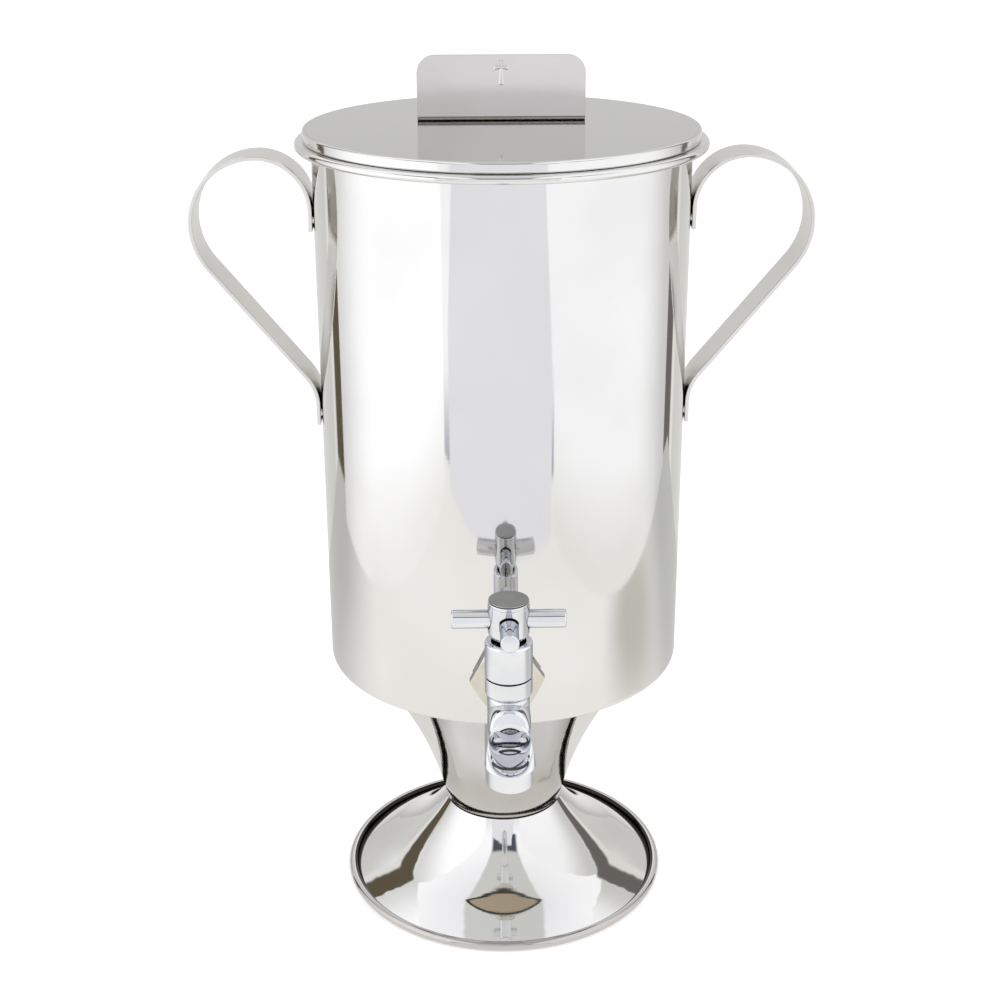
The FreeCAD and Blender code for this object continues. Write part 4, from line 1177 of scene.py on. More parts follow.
@dataclass
class Lid:
    """The lift-off lid: a flat cap, its centring ring, and the upright plate with a small cross."""

    radius: float = 97.5
    wall: float = 1.0
    seat: float = 416.55
    top: float = 421.9
    edge: float = 1.5
    lip: float = 0.8
    ring_radius: float = 91.7
    ring_bottom: float = 405.9
    ring_flange: float = 8.0
    ring_bend: float = 0.6
    plate_width: float = 83.0
    plate_top: float = 453.9
    plate_front: float = 10.0
    plate_foot: float = 20.0
    plate_thickness: float = 1.5
    plate_bend: float = 2.5
    plate_corner: float = 9.0
    plate_ease: float = 0.2
    plate_ease_angle: float = 50.0
    top_edge_within: float = 0.1
    rivet_place: Pair = (28.0, 21.5)
    rivet_head: float = 4.0
    rivet_height: float = 1.6
    rivet_sink: float = 0.5
    rivet_sink_step: float = 1.0
    cross_middle: float = 447.8
    cross_up: float = 3.6
    cross_down: float = 8.4
    cross_reach: float = 3.5
    cross_stem: float = 0.75
    cross_flare: float = 1.25
    cross_sink: float = 0.1
    cross_rise: float = 0.25
    cross_slope: Pair = (0.45, 0.4)
    steps: int = 192

    def build(self) -> None:
        """Model the lid's pieces and dress them."""
        dress(self.cap(), LID_STEEL, Body.LID, "lid_cap")
        dress(self.ring(), LID_STEEL, Body.LID, "lid_locating_ring")
        dress(self.plate(), PLATE_STEEL, Body.LID, "lid_plate")
        dress(self.rivets(), SMALL_STEEL, Body.LID, "lid_plate_rivets")
        dress(self.cross(), PLATE_STEEL, Body.LID)

    def cap(self) -> bpy.types.Object:
        """The cap, a shallow pan upside down.

        Returns:
            The cap.
        """
        under = self.top - self.wall
        inside = self.radius - self.wall
        cap = Outline("lid_cap_polished", AXIS_BOARD, 0, under)
        cap.line(self.radius - self.edge, under)
        cap.arc(inside, self.top - self.edge, self.edge - self.wall, Turn.RIGHT, 5)
        cap.line(inside, self.seat)
        cap.line(self.radius - self.lip, self.seat)
        cap.arc(self.radius, self.seat + self.lip, self.lip, Turn.LEFT, 6)
        cap.line(self.radius, self.top - self.edge)
        cap.arc(self.radius - self.edge, self.top, self.edge, Turn.LEFT, 10)
        cap.line(0, self.top)
        return cap.turned(self.steps)

    def ring(self) -> bpy.types.Object:
        """The ring that centres the lid in the tank's mouth.

        Returns:
            The ring.
        """
        under = self.top - self.wall
        inside = self.ring_radius - self.wall
        flange = self.ring_radius - self.ring_flange
        bend = self.ring_bend
        ring = Outline("lid_ring_polished", AXIS_BOARD, flange, under - self.wall)
        ring.line(inside - bend, under - self.wall)
        ring.arc(inside, under - self.wall - bend, bend, Turn.RIGHT, 5)
        ring.lines((inside, self.ring_bottom), (self.ring_radius, self.ring_bottom))
        ring.lines((self.ring_radius, under), (flange, under))
        ring.close()
        return ring.turned(self.steps)

    def plate(self) -> bpy.types.Object:
        """The plate, bent backwards at its foot, with rounded upper corners.

        Returns:
            The plate.
        """
        half = self.plate_width / 2
        board = Board((-half, 0, 0), (0, 1, 0), (0, 0, 1))
        path = Outline("plate_polished", board, self.plate_front + self.plate_foot, self.top)
        path.line(self.plate_front + self.plate_bend, self.top)
        path.arc(self.plate_front, self.top + self.plate_bend, self.plate_bend, Turn.RIGHT, 8)
        path.line(self.plate_front, self.plate_top)
        plate = path.drawn_out((self.plate_width, 0, 0))
        pick(plate)
        bpy.ops.object.mode_set(mode="EDIT")
        select_vertices(plate, lambda place: place.z > self.plate_top - self.top_edge_within)
        bpy.ops.mesh.bevel(offset=self.plate_corner * MM, segments=10, affect="VERTICES")
        bpy.ops.object.mode_set(mode="OBJECT")
        front = max(plate.data.polygons, key=lambda face: face.area)
        inwards = -1.0 if front.normal.y < 0 else 1.0
        apply_modifier(plate, "SOLIDIFY", thickness=self.plate_thickness * MM, offset=inwards)
        apply_modifier(plate, "BEVEL", width=self.plate_ease * MM, segments=2, limit_method="ANGLE",
                       angle_limit=math.radians(self.plate_ease_angle))
        return smooth(plate)

    def rivets(self) -> bpy.types.Object:
        """The two domed rivets in the plate's foot.

        Returns:
            The rivets as one object.
        """
        face = self.top + self.plate_thickness
        dome = (self.rivet_head ** 2 + self.rivet_height ** 2) / (2 * self.rivet_height)
        made = []
        for side in Side:
            board = Board((self.rivet_place[0] * side.value, self.rivet_place[1], 0))
            rivet = Outline("plate_rivet", board, 0, face + self.rivet_height)
            rivet.arc(self.rivet_head, face, dome, Turn.RIGHT, 10)
            sunk = face - self.rivet_sink
            rivet.lines((self.rivet_head - self.rivet_sink_step, sunk), (0, sunk))
            made.append(rivet.turned(40))
        return joined("plate_rivets_domed", made)

    def cross(self) -> bpy.types.Object:
        """A small plain Latin cross on the plate's front, with flared ends and sloping sides.

        Returns:
            The cross.
        """
        stem, flare, reach = self.cross_stem, self.cross_flare, self.cross_reach
        middle = self.cross_middle
        up, down = middle + self.cross_up, middle - self.cross_down
        board = Board((0, self.plate_front + self.cross_sink, 0))
        cross = Outline("plate_cross", board, stem, middle + stem)
        cross.lines(
            (flare, up), (-flare, up), (-stem, middle + stem), (-reach, middle + flare),
            (-reach, middle - flare), (-stem, middle - stem), (-flare, down), (flare, down),
            (stem, middle - stem), (reach, middle - flare), (reach, middle + flare),
        )
        cross.close()
        bpy.ops.mesh.select_all(action="SELECT")
        bpy.ops.mesh.remove_doubles(threshold=MERGE_DISTANCE)
        bpy.ops.mesh.edge_face_add()
        bpy.ops.mesh.extrude_region_move(TRANSFORM_OT_translate={"value": (0, -self.cross_rise * MM, 0)})
        bpy.ops.mesh.inset(thickness=self.cross_slope[0] * MM, depth=self.cross_slope[1] * MM)
        close_seams()
        return smooth(cross.piece)


@dataclass
class SpoutRing:
    """One ring of the spout: where its middle is, how wide it is and how far it is tipped from level."""

    y: float
    z: float
    radius: float
    tip: float


@dataclass
class Tap:
    """The bib tap: a casting through the wall, its locknut, its bonnet and its outlet ring."""

    barrel: float = 9.85
    barrel_bottom: float = 157.8
    collar: float = 11.2
    collar_top: float = 189.6
    shoulder: float = 181.0
    barrel_way: float = 8.0
    barrel_ease: float = 1.5
    hollow_start: float = 4.5
    hollow_end: Pair = (-0.35, -1.6)
    hollow_curve: float = 8.0
    flute_end: Pair = (0.5, -0.2)
    flute_curve: float = 1.2
    collar_start: float = 1.5
    collar_curve: float = 1.8
    fine_ease: float = 0.3
    bonnet_bottom: float = 190.4
    bonnet_top: float = 208.0
    bonnet_bore: float = 8.2
    bonnet_ease: float = 1.2
    shank: float = 10.2
    shank_bore: float = 3.6
    shank_start: float = 79.0
    shank_end: float = 134.0
    shank_hollow: float = 14.0
    shank_chamfer: float = 0.5
    thread_depth: float = 0.7
    thread_pitch: float = 1.8
    thread_start: float = 0.3
    thread_crest: Pair = (0.4, 0.55)
    thread_smooth: float = 28.0
    bell: float = 11.95
    bell_edge: Pair = (0.15, 0.6)
    nozzle: float = 10.5
    nozzle_bottom: float = 148.3
    nozzle_lip: float = 7.2
    nozzle_bore: float = 8.0
    nozzle_ease: float = 0.6
    nozzle_top_ease: float = 0.35
    nozzle_lip_chamfer: float = 0.2
    nozzle_lip_height: float = 1.3
    nozzle_thread_wall: float = 1.0
    nozzle_thread_length: float = 2.1
    nut_across: float = 32.0
    nut_bore: float = 10.25
    nut_start: float = 95.5
    nut_end: float = 101.5
    nut_turn: float = 3.0
    nut_cone: float = 30.0
    nut_cone_inset: float = 0.3
    nut_chamfer: float = 0.5
    nut_ease: float = 0.15
    nut_ease_angle: float = 25.0
    blank_margin: float = 1.0
    elbow: Pair = (-147.75, 158.0)
    elbow_gap: float = 1.3
    throat: Sequence[SpoutRing] = field(default_factory=lambda: [
        SpoutRing(-134.0, 171.9, 9.5, 76.5),
        SpoutRing(-138.5, 170.8, 10.2, 76.5),
        SpoutRing(-143.0, 169.9, 10.3, 76.5),
        SpoutRing(-147.0, 169.2, 9.9, 76.5),
    ])
    flare: Sequence[Pair] = ((76.5, 9.4), (66, 9.1), (56, 9.25), (46, 9.7), (36, 10.25), (26, 10.8),
                             (17, 11.25), (8.5, 11.6), (0, 11.95))

    def build(self) -> None:
        """Model the tap's fixed pieces and dress them."""
        casting = joined("tap_casting", [self.upright(), self.inlet(), self.spout()])
        dress(casting, CHROME, Body.VESSEL, "tap_body")
        dress(self.locknut(), WARM_NICKEL, Body.VESSEL, "tap_locknut")
        dress(self.bonnet(), CHROME, Body.VESSEL, "bonnet")
        dress(self.outlet_ring(), CHROME, Body.VESSEL, "nozzle_ring")

    def upright(self) -> bpy.types.Object:
        """The barrel with its collar, open at the top for the headwork.

        Returns:
            The barrel.
        """
        bottom = self.barrel_bottom
        ease = self.barrel_ease
        fine = self.fine_ease
        hollow = (self.barrel + self.hollow_end[0], self.shoulder + self.hollow_end[1])
        flute = (self.barrel + self.flute_end[0], self.shoulder + self.flute_end[1])
        barrel = Outline("tap_barrel", STEM_BOARD, 0, bottom)
        barrel.line(self.barrel - ease, bottom)
        barrel.arc(self.barrel, bottom + ease, ease, Turn.LEFT, 8)
        barrel.line(self.barrel, self.shoulder - self.hollow_start)
        barrel.arc(*hollow, self.hollow_curve, Turn.LEFT, 8)
        barrel.arc(*flute, self.flute_curve, Turn.RIGHT, 8)
        barrel.arc(self.collar, self.shoulder + self.collar_start, self.collar_curve, Turn.LEFT, 8)
        barrel.line(self.collar, self.collar_top - fine)
        barrel.arc(self.collar - fine, self.collar_top, fine, Turn.LEFT, 4)
        barrel.lines((self.barrel_way, self.collar_top), (self.barrel_way, self.shoulder), (0, self.shoulder))
        return barrel.turned(96)

    def inlet(self) -> bpy.types.Object:
        """The shank through the tank's wall, with its bore and a few turns of thread at its end.

        Returns:
            The shank.
        """
        root = self.shank - self.thread_depth
        end = self.shank_start + self.shank_hollow
        bore = self.shank_bore
        chamfer = self.shank_chamfer
        shank = Outline("tap_shank", INLET_BOARD, 0, end)
        shank.lines((bore, end), (bore, self.shank_start + chamfer), (bore + chamfer, self.shank_start))
        shank.line(root, self.shank_start)
        here = self.shank_start + self.thread_start
        while here + self.thread_pitch < self.nut_start:
            shank.line(root, here)
            for share in self.thread_crest:
                shank.line(self.shank, here + self.thread_pitch * share)
            here += self.thread_pitch
        shank.lines((root, here), (self.shank, here + self.thread_depth), (self.shank, self.shank_end))
        shank.line(0, self.shank_end)
        return shank.turned(72, self.thread_smooth)

    def spout(self) -> bpy.types.Object:
        """The spout, drawn out ring by ring, round its elbow and into the bell.

        Returns:
            The spout.
        """
        rings = [*self.throat, *(self.fanned(tip, radius) for tip, radius in self.flare)]
        first, rim = rings[0], rings[-1]
        rings += [SpoutRing(rim.y, self.barrel_bottom, self.bell - inset, 0) for inset in self.bell_edge]
        to_object_mode()
        bpy.ops.mesh.primitive_circle_add(
            vertices=72, radius=first.radius * MM, fill_type="NOTHING", enter_editmode=True,
            location=(0, 0, 0))
        spout = bpy.context.object
        spout.name = "tap_spout"
        middle = Vector((0, first.y, first.z)) * MM
        bpy.ops.transform.translate(value=middle)
        bpy.ops.transform.rotate(value=-math.radians(first.tip), orient_axis="X", orient_type="GLOBAL",
                                 center_override=middle)
        for before, ring in zip(rings, rings[1:]):
            self.next_ring(before, ring)
        bpy.ops.mesh.edge_face_add()
        bpy.ops.mesh.select_all(action="DESELECT")
        bpy.ops.mesh.select_non_manifold()
        bpy.ops.mesh.edge_face_add()
        close_seams()
        apply_modifier(spout, "SUBSURF", levels=2, render_levels=2)
        return smooth(spout)

    def fanned(self, tip: float, radius: float) -> SpoutRing:
        """One ring of the elbow, which fan out from its inner corner.

        Args:
            tip: How far the ring is tipped from level, in degrees.
            radius: How wide it is.

        Returns:
            The ring.
        """
        reach = self.elbow_gap + radius
        angle = math.radians(tip)
        return SpoutRing(self.elbow[0] - reach * math.cos(angle), self.elbow[1] + reach * math.sin(angle),
                         radius, tip)

    def next_ring(self, before: SpoutRing, ring: SpoutRing) -> None:
        """Draw the spout on by one ring.

        Args:
            before: The ring that is selected.
            ring: The ring to make.
        """
        middle = Vector((0, ring.y, ring.z)) * MM
        step = middle - Vector((0, before.y, before.z)) * MM
        bpy.ops.mesh.extrude_region_move(TRANSFORM_OT_translate={"value": step})
        bpy.ops.transform.rotate(value=-math.radians(ring.tip - before.tip), orient_axis="X",
                                 orient_type="GLOBAL", center_override=middle)
        size = ring.radius / before.radius
        bpy.ops.transform.resize(value=(size, size, size), center_override=middle)

    def locknut(self) -> bpy.types.Object:
        """The hexagonal locknut, its corners turned off to a cone on the outer face.

        Returns:
            The nut.
        """
        hexagon_half = math.radians(30)
        corner = self.nut_across / 2 / math.cos(hexagon_half)
        depth = self.nut_end - self.nut_start
        to_object_mode()
        bpy.ops.mesh.primitive_cylinder_add(
            vertices=6, radius=corner * MM, depth=depth * MM, enter_editmode=True, location=(0, 0, 0))
        nut = bpy.context.object
        nut.name = "locknut_hexagon"
        bpy.ops.mesh.select_all(action="SELECT")
        turns = (("Z", hexagon_half + math.radians(self.nut_turn)), ("X", math.radians(90)))
        for axis, angle in turns:
            bpy.ops.transform.rotate(value=angle, orient_axis=axis, orient_type="GLOBAL",
                                     center_override=(0, 0, 0))
        centre = Vector((0, -(self.nut_start + self.nut_end) / 2, INLET_HEIGHT)) * MM
        bpy.ops.transform.translate(value=centre)
        bpy.ops.object.mode_set(mode="OBJECT")
        flat = self.nut_across / 2 - self.nut_cone_inset
        beyond = corner + self.blank_margin
        cone_edge = self.nut_end - (beyond - flat) * math.tan(math.radians(self.nut_cone))
        bore, chamfer = self.nut_bore, self.nut_chamfer
        blank = Outline("locknut_blank", INLET_BOARD, bore, self.nut_start)
        blank.lines((beyond, self.nut_start), (beyond, cone_edge), (flat, self.nut_end))
        blank.lines((bore + chamfer, self.nut_end), (bore, self.nut_end - chamfer))
        blank.close()
        cone = blank.turned(96)
        apply_modifier(nut, "BOOLEAN", operation="INTERSECT", object=cone, solver="EXACT")
        bpy.data.objects.remove(cone)
        apply_modifier(nut, "BEVEL", width=self.nut_ease * MM, segments=2, limit_method="ANGLE",
                       angle_limit=math.radians(self.nut_ease_angle))
        return smooth(nut)

    def bonnet(self) -> bpy.types.Object:
        """The open cup over the headwork.

        Returns:
            The bonnet.
        """
        fine, ease = self.fine_ease, self.bonnet_ease
        bonnet = Outline("bonnet_cup", STEM_BOARD, self.bonnet_bore, self.bonnet_bottom)
        bonnet.line(self.collar - fine, self.bonnet_bottom)
        bonnet.arc(self.collar, self.bonnet_bottom + fine, fine, Turn.LEFT, 4)
        bonnet.line(self.collar, self.bonnet_top - ease)
        bonnet.arc(self.collar - ease, self.bonnet_top, ease, Turn.LEFT, 8)
        bonnet.line(self.bonnet_bore + fine, self.bonnet_top)
        bonnet.arc(self.bonnet_bore, self.bonnet_top - fine, fine, Turn.LEFT, 4)
        bonnet.close()
        return bonnet.turned(96)

    def outlet_ring(self) -> bpy.types.Object:
        """The screwed ring under the bell.

        Returns:
            The ring.
        """
        bottom, joint = self.nozzle_bottom, self.barrel_bottom
        thread = self.nozzle_bore + self.nozzle_thread_wall
        thread_top = joint + self.nozzle_thread_length
        lip, lip_top = self.nozzle_lip, bottom + self.nozzle_lip_height
        ease, top_ease = self.nozzle_ease, self.nozzle_top_ease
        ring = Outline("outlet_ring", NOZZLE_BOARD, lip, bottom + self.nozzle_lip_chamfer)
        ring.lines((lip + self.nozzle_lip_chamfer, bottom), (self.nozzle - ease, bottom))
        ring.arc(self.nozzle, bottom + ease, ease, Turn.LEFT, 6)
        ring.line(self.nozzle, joint - top_ease)
        ring.arc(self.nozzle - top_ease, joint, top_ease, Turn.LEFT, 4)
        ring.lines((thread, joint), (thread, thread_top), (self.nozzle_bore, thread_top))
        ring.lines((self.nozzle_bore, lip_top), (lip, lip_top))
        ring.close()
        return ring.turned(96)


@dataclass
class CrossHandle:
    """The cross handle: hub, cap with its satin disc, and four spokes in sunk seats."""

    nose: float = 5.2
    bottom: float = 205.5
    radius: float = 9.7
    taper: float = 7.0
    taper_ease: float = 0.8
    top: float = 226.5
    ease: float = 0.3
    cap: float = 9.6
    cap_rim: float = 228.2
    cap_top: float = 229.0
    cap_ease: float = 0.4
    cap_under_ease: float = 0.15
    cap_gap: float = 0.05
    cap_collar: Pair = (4.6, 5.95)
    cap_collar_depth: float = 2.9
    # A near-black ring under the disc, painted shade:
    shade_ring: float = 9.1
    shade_ring_width: float = 1.5
    shade_ring_chamfer: float = 0.1
    disc: float = 9.3
    disc_bottom: float = 228.7
    disc_ease: float = 0.1
    disc_dish: float = 430.0
    recess: float = 6.0
    recess_depth: float = 3.6
    web: float = 0.9
    screw_way: float = 2.0
    spoke_height: float = 219.0
    spoke: float = 4.3
    spoke_seat: float = 8.5
    seat_radius: float = 5.0
    spoke_tip: float = 26.5
    spoke_ease: float = 0.8
    plug_margin: float = 2.0
    spoke_pin: float = 1.95
    spoke_pin_start: float = 5.0
    spindle: float = 4.02

    def build(self) -> None:
        """Model the handle's pieces and dress them."""
        dress(self.hub(), CHROME, Body.TAP_HANDLE, "cross_hub")
        dress(self.top_cap(), CHROME, Body.TAP_HANDLE, "hub_cap")
        # A near-black rubber ring under the satin disc: painted shade in the gap.
        dress(self.cap_shade_ring(), RUBBER, Body.TAP_HANDLE)
        dress(self.cap_disc(), SATIN_CAP, Body.TAP_HANDLE)
        first = self.front_spoke()
        others = []
        for number, label in enumerate(("right", "back", "left"), start=1):
            spoke = copy_of(first, f"spoke_{label}_turned")
            swing(spoke, 90 * number, STEM)
            others.append((spoke, f"spoke_{label}"))
        for spoke, node in [(first, "spoke_front"), *others]:
            dress(spoke, CHROME, Body.TAP_HANDLE, node)

    def hub(self) -> bpy.types.Object:
        """The hub, coned to its nose and hollow for spindle and screw.

        Returns:
            The hub.
        """
        floor = self.top - self.recess_depth
        web = floor - self.web
        shoulder = self.bottom + self.taper
        cone = math.atan2(self.radius - self.nose, self.taper)
        blend = self.taper_ease
        hub = Outline("hub_turned", STEM_BOARD, self.spindle, self.bottom)
        hub.line(self.nose, self.bottom)
        hub.line(self.radius - blend * math.sin(cone), shoulder - blend * math.cos(cone))
        hub.arc(self.radius, shoulder + blend, blend / math.tan(cone / 2), Turn.LEFT, 8)
        hub.line(self.radius, self.top - self.ease)
        hub.arc(self.radius - self.ease, self.top, self.ease, Turn.LEFT, 5)
        hub.lines((self.recess, self.top), (self.recess, floor), (self.screw_way, floor))
        hub.lines((self.screw_way, web), (self.spindle, web))
        hub.close()
        turned = hub.turned(192)
        plugs = self.seat_plugs()
        apply_modifier(turned, "BOOLEAN", operation="DIFFERENCE", object=plugs, solver="EXACT")
        bpy.data.objects.remove(plugs)
        return smooth(turned)

    def spoke_board(self) -> Board:
        """The board on which the front spoke is drawn, along its own axis."""
        return Board((0, STEM[1], self.spoke_height), (1, 0, 0), (0, -1, 0))

    def seat_plugs(self) -> bpy.types.Object:
        """Four short plugs that cut the spokes' seats into the hub.

        Returns:
            The plugs as one object.
        """
        beyond = self.radius + self.plug_margin
        plug = Outline("seat_plug", self.spoke_board(), 0, self.spoke_seat)
        plug.lines((self.seat_radius, self.spoke_seat), (self.seat_radius, beyond), (0, beyond))
        plugs = [plug.turned(64)]
        for number in (1, 2, 3):
            plugs.append(copy_of(plugs[0], f"seat_plug_{number}"))
            swing(plugs[-1], 90 * number, STEM)
        return joined("seat_plugs", plugs)

    def top_cap(self) -> bpy.types.Object:
        """The cap on top of the hub, with a rounded rim.

        Returns:
            The cap.
        """
        inner, outer = self.cap_collar
        depth = self.top - self.cap_collar_depth
        seat = self.top + self.cap_gap
        under_ease, ease = self.cap_under_ease, self.cap_ease
        cap = Outline("hub_cap_rim", STEM_BOARD, inner, depth)
        cap.lines((outer, depth), (outer, seat), (self.cap - under_ease, seat))
        cap.arc(self.cap, seat + under_ease, under_ease, Turn.LEFT, 4)
        cap.line(self.cap, self.cap_rim - ease)
        cap.arc(self.cap - ease, self.cap_rim, ease, Turn.LEFT, 6)
        cap.lines((0, self.cap_rim), (0, self.top), (inner, self.top))
        cap.close()
        return cap.turned(96)

    def cap_shade_ring(self) -> bpy.types.Object:
        """A thin near-black ring between the cap's rim and its disc: painted shade in the gap under the disc.

        Returns:
            The ring.
        """
        inner, chamfer = self.shade_ring - self.shade_ring_width, self.shade_ring_chamfer
        shade_ring = Outline("hub_cap_shade_ring", STEM_BOARD, inner, self.cap_rim)
        shade_ring.lines((self.shade_ring - chamfer, self.cap_rim), (self.shade_ring, self.cap_rim + chamfer))
        shade_ring.lines((self.shade_ring, self.disc_bottom), (inner, self.disc_bottom))
        shade_ring.close()
        return shade_ring.turned(96)

    def cap_disc(self) -> bpy.types.Object:
        """The satin disc on the cap, very slightly dished.

        Returns:
            The disc.
        """
        ease = self.disc_ease
        disc = Outline("hub_cap_disc", STEM_BOARD, 0, self.disc_bottom)
        disc.lines((self.disc, self.disc_bottom), (self.disc, self.cap_top - ease))
        disc.arc(self.disc - ease, self.cap_top, ease, Turn.LEFT, 4)
        disc.arc(0, self.cap_top - ease, self.disc_dish, Turn.LEFT, 8)
        return disc.turned(96)

    def front_spoke(self) -> bpy.types.Object:
        """The spoke that points to the front, with its pin inside the hub.

        Returns:
            The spoke.
        """
        tip, ease = self.spoke_tip, self.spoke_ease
        spoke = Outline("spoke_front_turned", self.spoke_board(), 0, self.spoke_pin_start)
        spoke.lines((self.spoke_pin, self.spoke_pin_start), (self.spoke_pin, self.spoke_seat))
        spoke.lines((self.spoke, self.spoke_seat), (self.spoke, tip - ease))
        spoke.arc(self.spoke - ease, tip, ease, Turn.LEFT, 7)
        spoke.line(0, tip)
        return spoke.turned(64)


@dataclass
class InnerPieces:
    """The pieces inside tap and tank that keep their CAD shapes and get a finish."""

    finishes: dict[str, Finish] = field(default_factory=lambda: {
        "outer_gasket": RUBBER,
        "inner_gasket": RUBBER,
        "seat_gasket": RUBBER,
        "spindle_seals": RUBBER,
        "nozzle_washer": RUBBER,
        "inner_washer": SMALL_STEEL,
        "spindle_circlip": SMALL_STEEL,
        "hub_screw": SMALL_STEEL,
        "inner_backnut": BRASS,
        # Near-black brass: painted shade inside the bonnet.
        "cartridge_body": BRASS_IN_PAINTED_SHADE,
        "spindle": BRASS,
        "fixed_disc": CERAMIC,
        "moving_disc": CERAMIC,
        "aerator_insert": PLASTIC,
    })

    def build(self) -> None:
        """Give each kept node its finish."""
        for node, finish in self.finishes.items():
            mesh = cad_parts[node].data
            mesh.materials.clear()
            mesh.materials.append(finish.material())
            LOG.info("%s: kept, %s", node, finish.name)


@dataclass(frozen=True)
class Card:
    """An upright card on the table that only polished metal sees; places are in millimetres."""

    name: str
    start: Pair
    end: Pair
    near: Colour
    far: Colour
    low: Colour
    narrowing: float = 0.0
    knee: float = 150.0
    height: float = 640.0


@dataclass(frozen=True)
class Band:
    """A soft band of values: where it rises from 0 to 1, and where it falls back to 0."""

    rise: Pair | None = None
    fall: Pair | None = None

    def mask(self, value: Socket) -> Operand:
        """The band's mask at a value; a side without limits stays open.

        Args:
            value: The value to look at.

        Returns:
            1 inside the band and 0 outside.
        """
        mask: Operand = 1.0
        if self.rise:
            mask = value.rise(*self.rise)
        if self.fall:
            mask = mask * (1 - value.rise(*self.fall))
        return mask


@dataclass(frozen=True)
class View:
    """A direction of the room as sockets: angles in degrees, and sideways travel for each unit of rise."""

    bearing: Socket
    turn: Socket
    height: Socket
    slant: Socket


@dataclass(frozen=True)
class Panel:
    """A panel of the room, by its colour and by the directions in which it stands.

    The turn is the bearing from the front, without its side. A panel may change to a second colour higher up.
    """

    colour: Colour
    turn: Band = Band()
    gap: Band | None = None
    bearing: Band = Band()
    height: Band = Band()
    slant: Band = Band()
    upper: Colour | None = None
    upper_from: Pair = (0, 1)

    def over(self, graph: Graph, room: SocketValue, view: View) -> Socket:
        """Lay the panel over the room.

        Args:
            graph: The world's node tree.
            room: The room's colour so far.
            view: The direction that is looked in.

        Returns:
            The room's colour with the panel.
        """
        mask = self.turn.mask(view.turn) * self.height.mask(view.height)
        mask = mask * self.bearing.mask(view.bearing) * self.slant.mask(view.slant)
        if self.gap:
            mask = mask * (1 - self.gap.mask(view.turn))
        colour: SocketValue = self.colour
        if self.upper:
            colour = graph.blend(view.height.rise(*self.upper_from), self.colour, self.upper)
        return graph.blend(mask, room, colour)


WALLS: Colour = (0.80, 0.80, 0.79, 1)
CEILING = Panel((1.36, 1.37, 1.42, 1), height=Band((14, 45)),
                upper=(1.08, 1.08, 1.14, 1), upper_from=(42, 85))
UPPER_BACK = Panel((0.78, 0.78, 0.785, 1), turn=Band((138, 158)), height=Band((30, 45), (62, 76)))
CEILING_STRIP = Panel((0.81, 0.82, 0.81, 1), turn=Band(fall=(95, 125)), height=Band((36, 40)),
                      slant=Band(fall=(0.31, 0.35)))
FRONT_CORNERS = Panel((0.55, 0.57, 0.64, 1), turn=Band((23, 25), (45, 47)), height=Band(fall=(-5, 5)),
                      upper=(1.3, 1.31, 1.36, 1), upper_from=(-21, -17))
LOWER_BACK = Panel((0.75, 0.75, 0.745, 1), turn=Band((140, 155)), height=Band((-5, 1), (19, 25)))
BACK_POSTS = Panel((1.0, 0.99, 0.95, 1), turn=Band((128.5, 130.5), (133, 135)))
LEFT_GAP = Panel((0.14, 0.115, 0.078, 1), bearing=Band((-131, -129), (-120, -118)),
                 height=Band(fall=(48, 64)))
RIGHT_GAP = Panel((0.19, 0.175, 0.17, 1), bearing=Band((118, 120), (128.5, 130.5)),
                  height=Band(fall=(48, 64)))
HIGH_SLOT = Panel((0.1, 0.11, 0.14, 1), turn=Band(fall=(18, 24)), height=Band((40, 42), (49, 51)))
ABOVE_CARDS = Panel((0.14, 0.12, 0.10, 1), turn=Band(fall=(60, 75)), gap=Band((14, 18), (36, 40)),
                    height=Band((18, 22), (32, 36)))
ROOM = (CEILING, UPPER_BACK, CEILING_STRIP, FRONT_CORNERS, LOWER_BACK, BACK_POSTS, LEFT_GAP, RIGHT_GAP,
        HIGH_SLOT, ABOVE_CARDS)


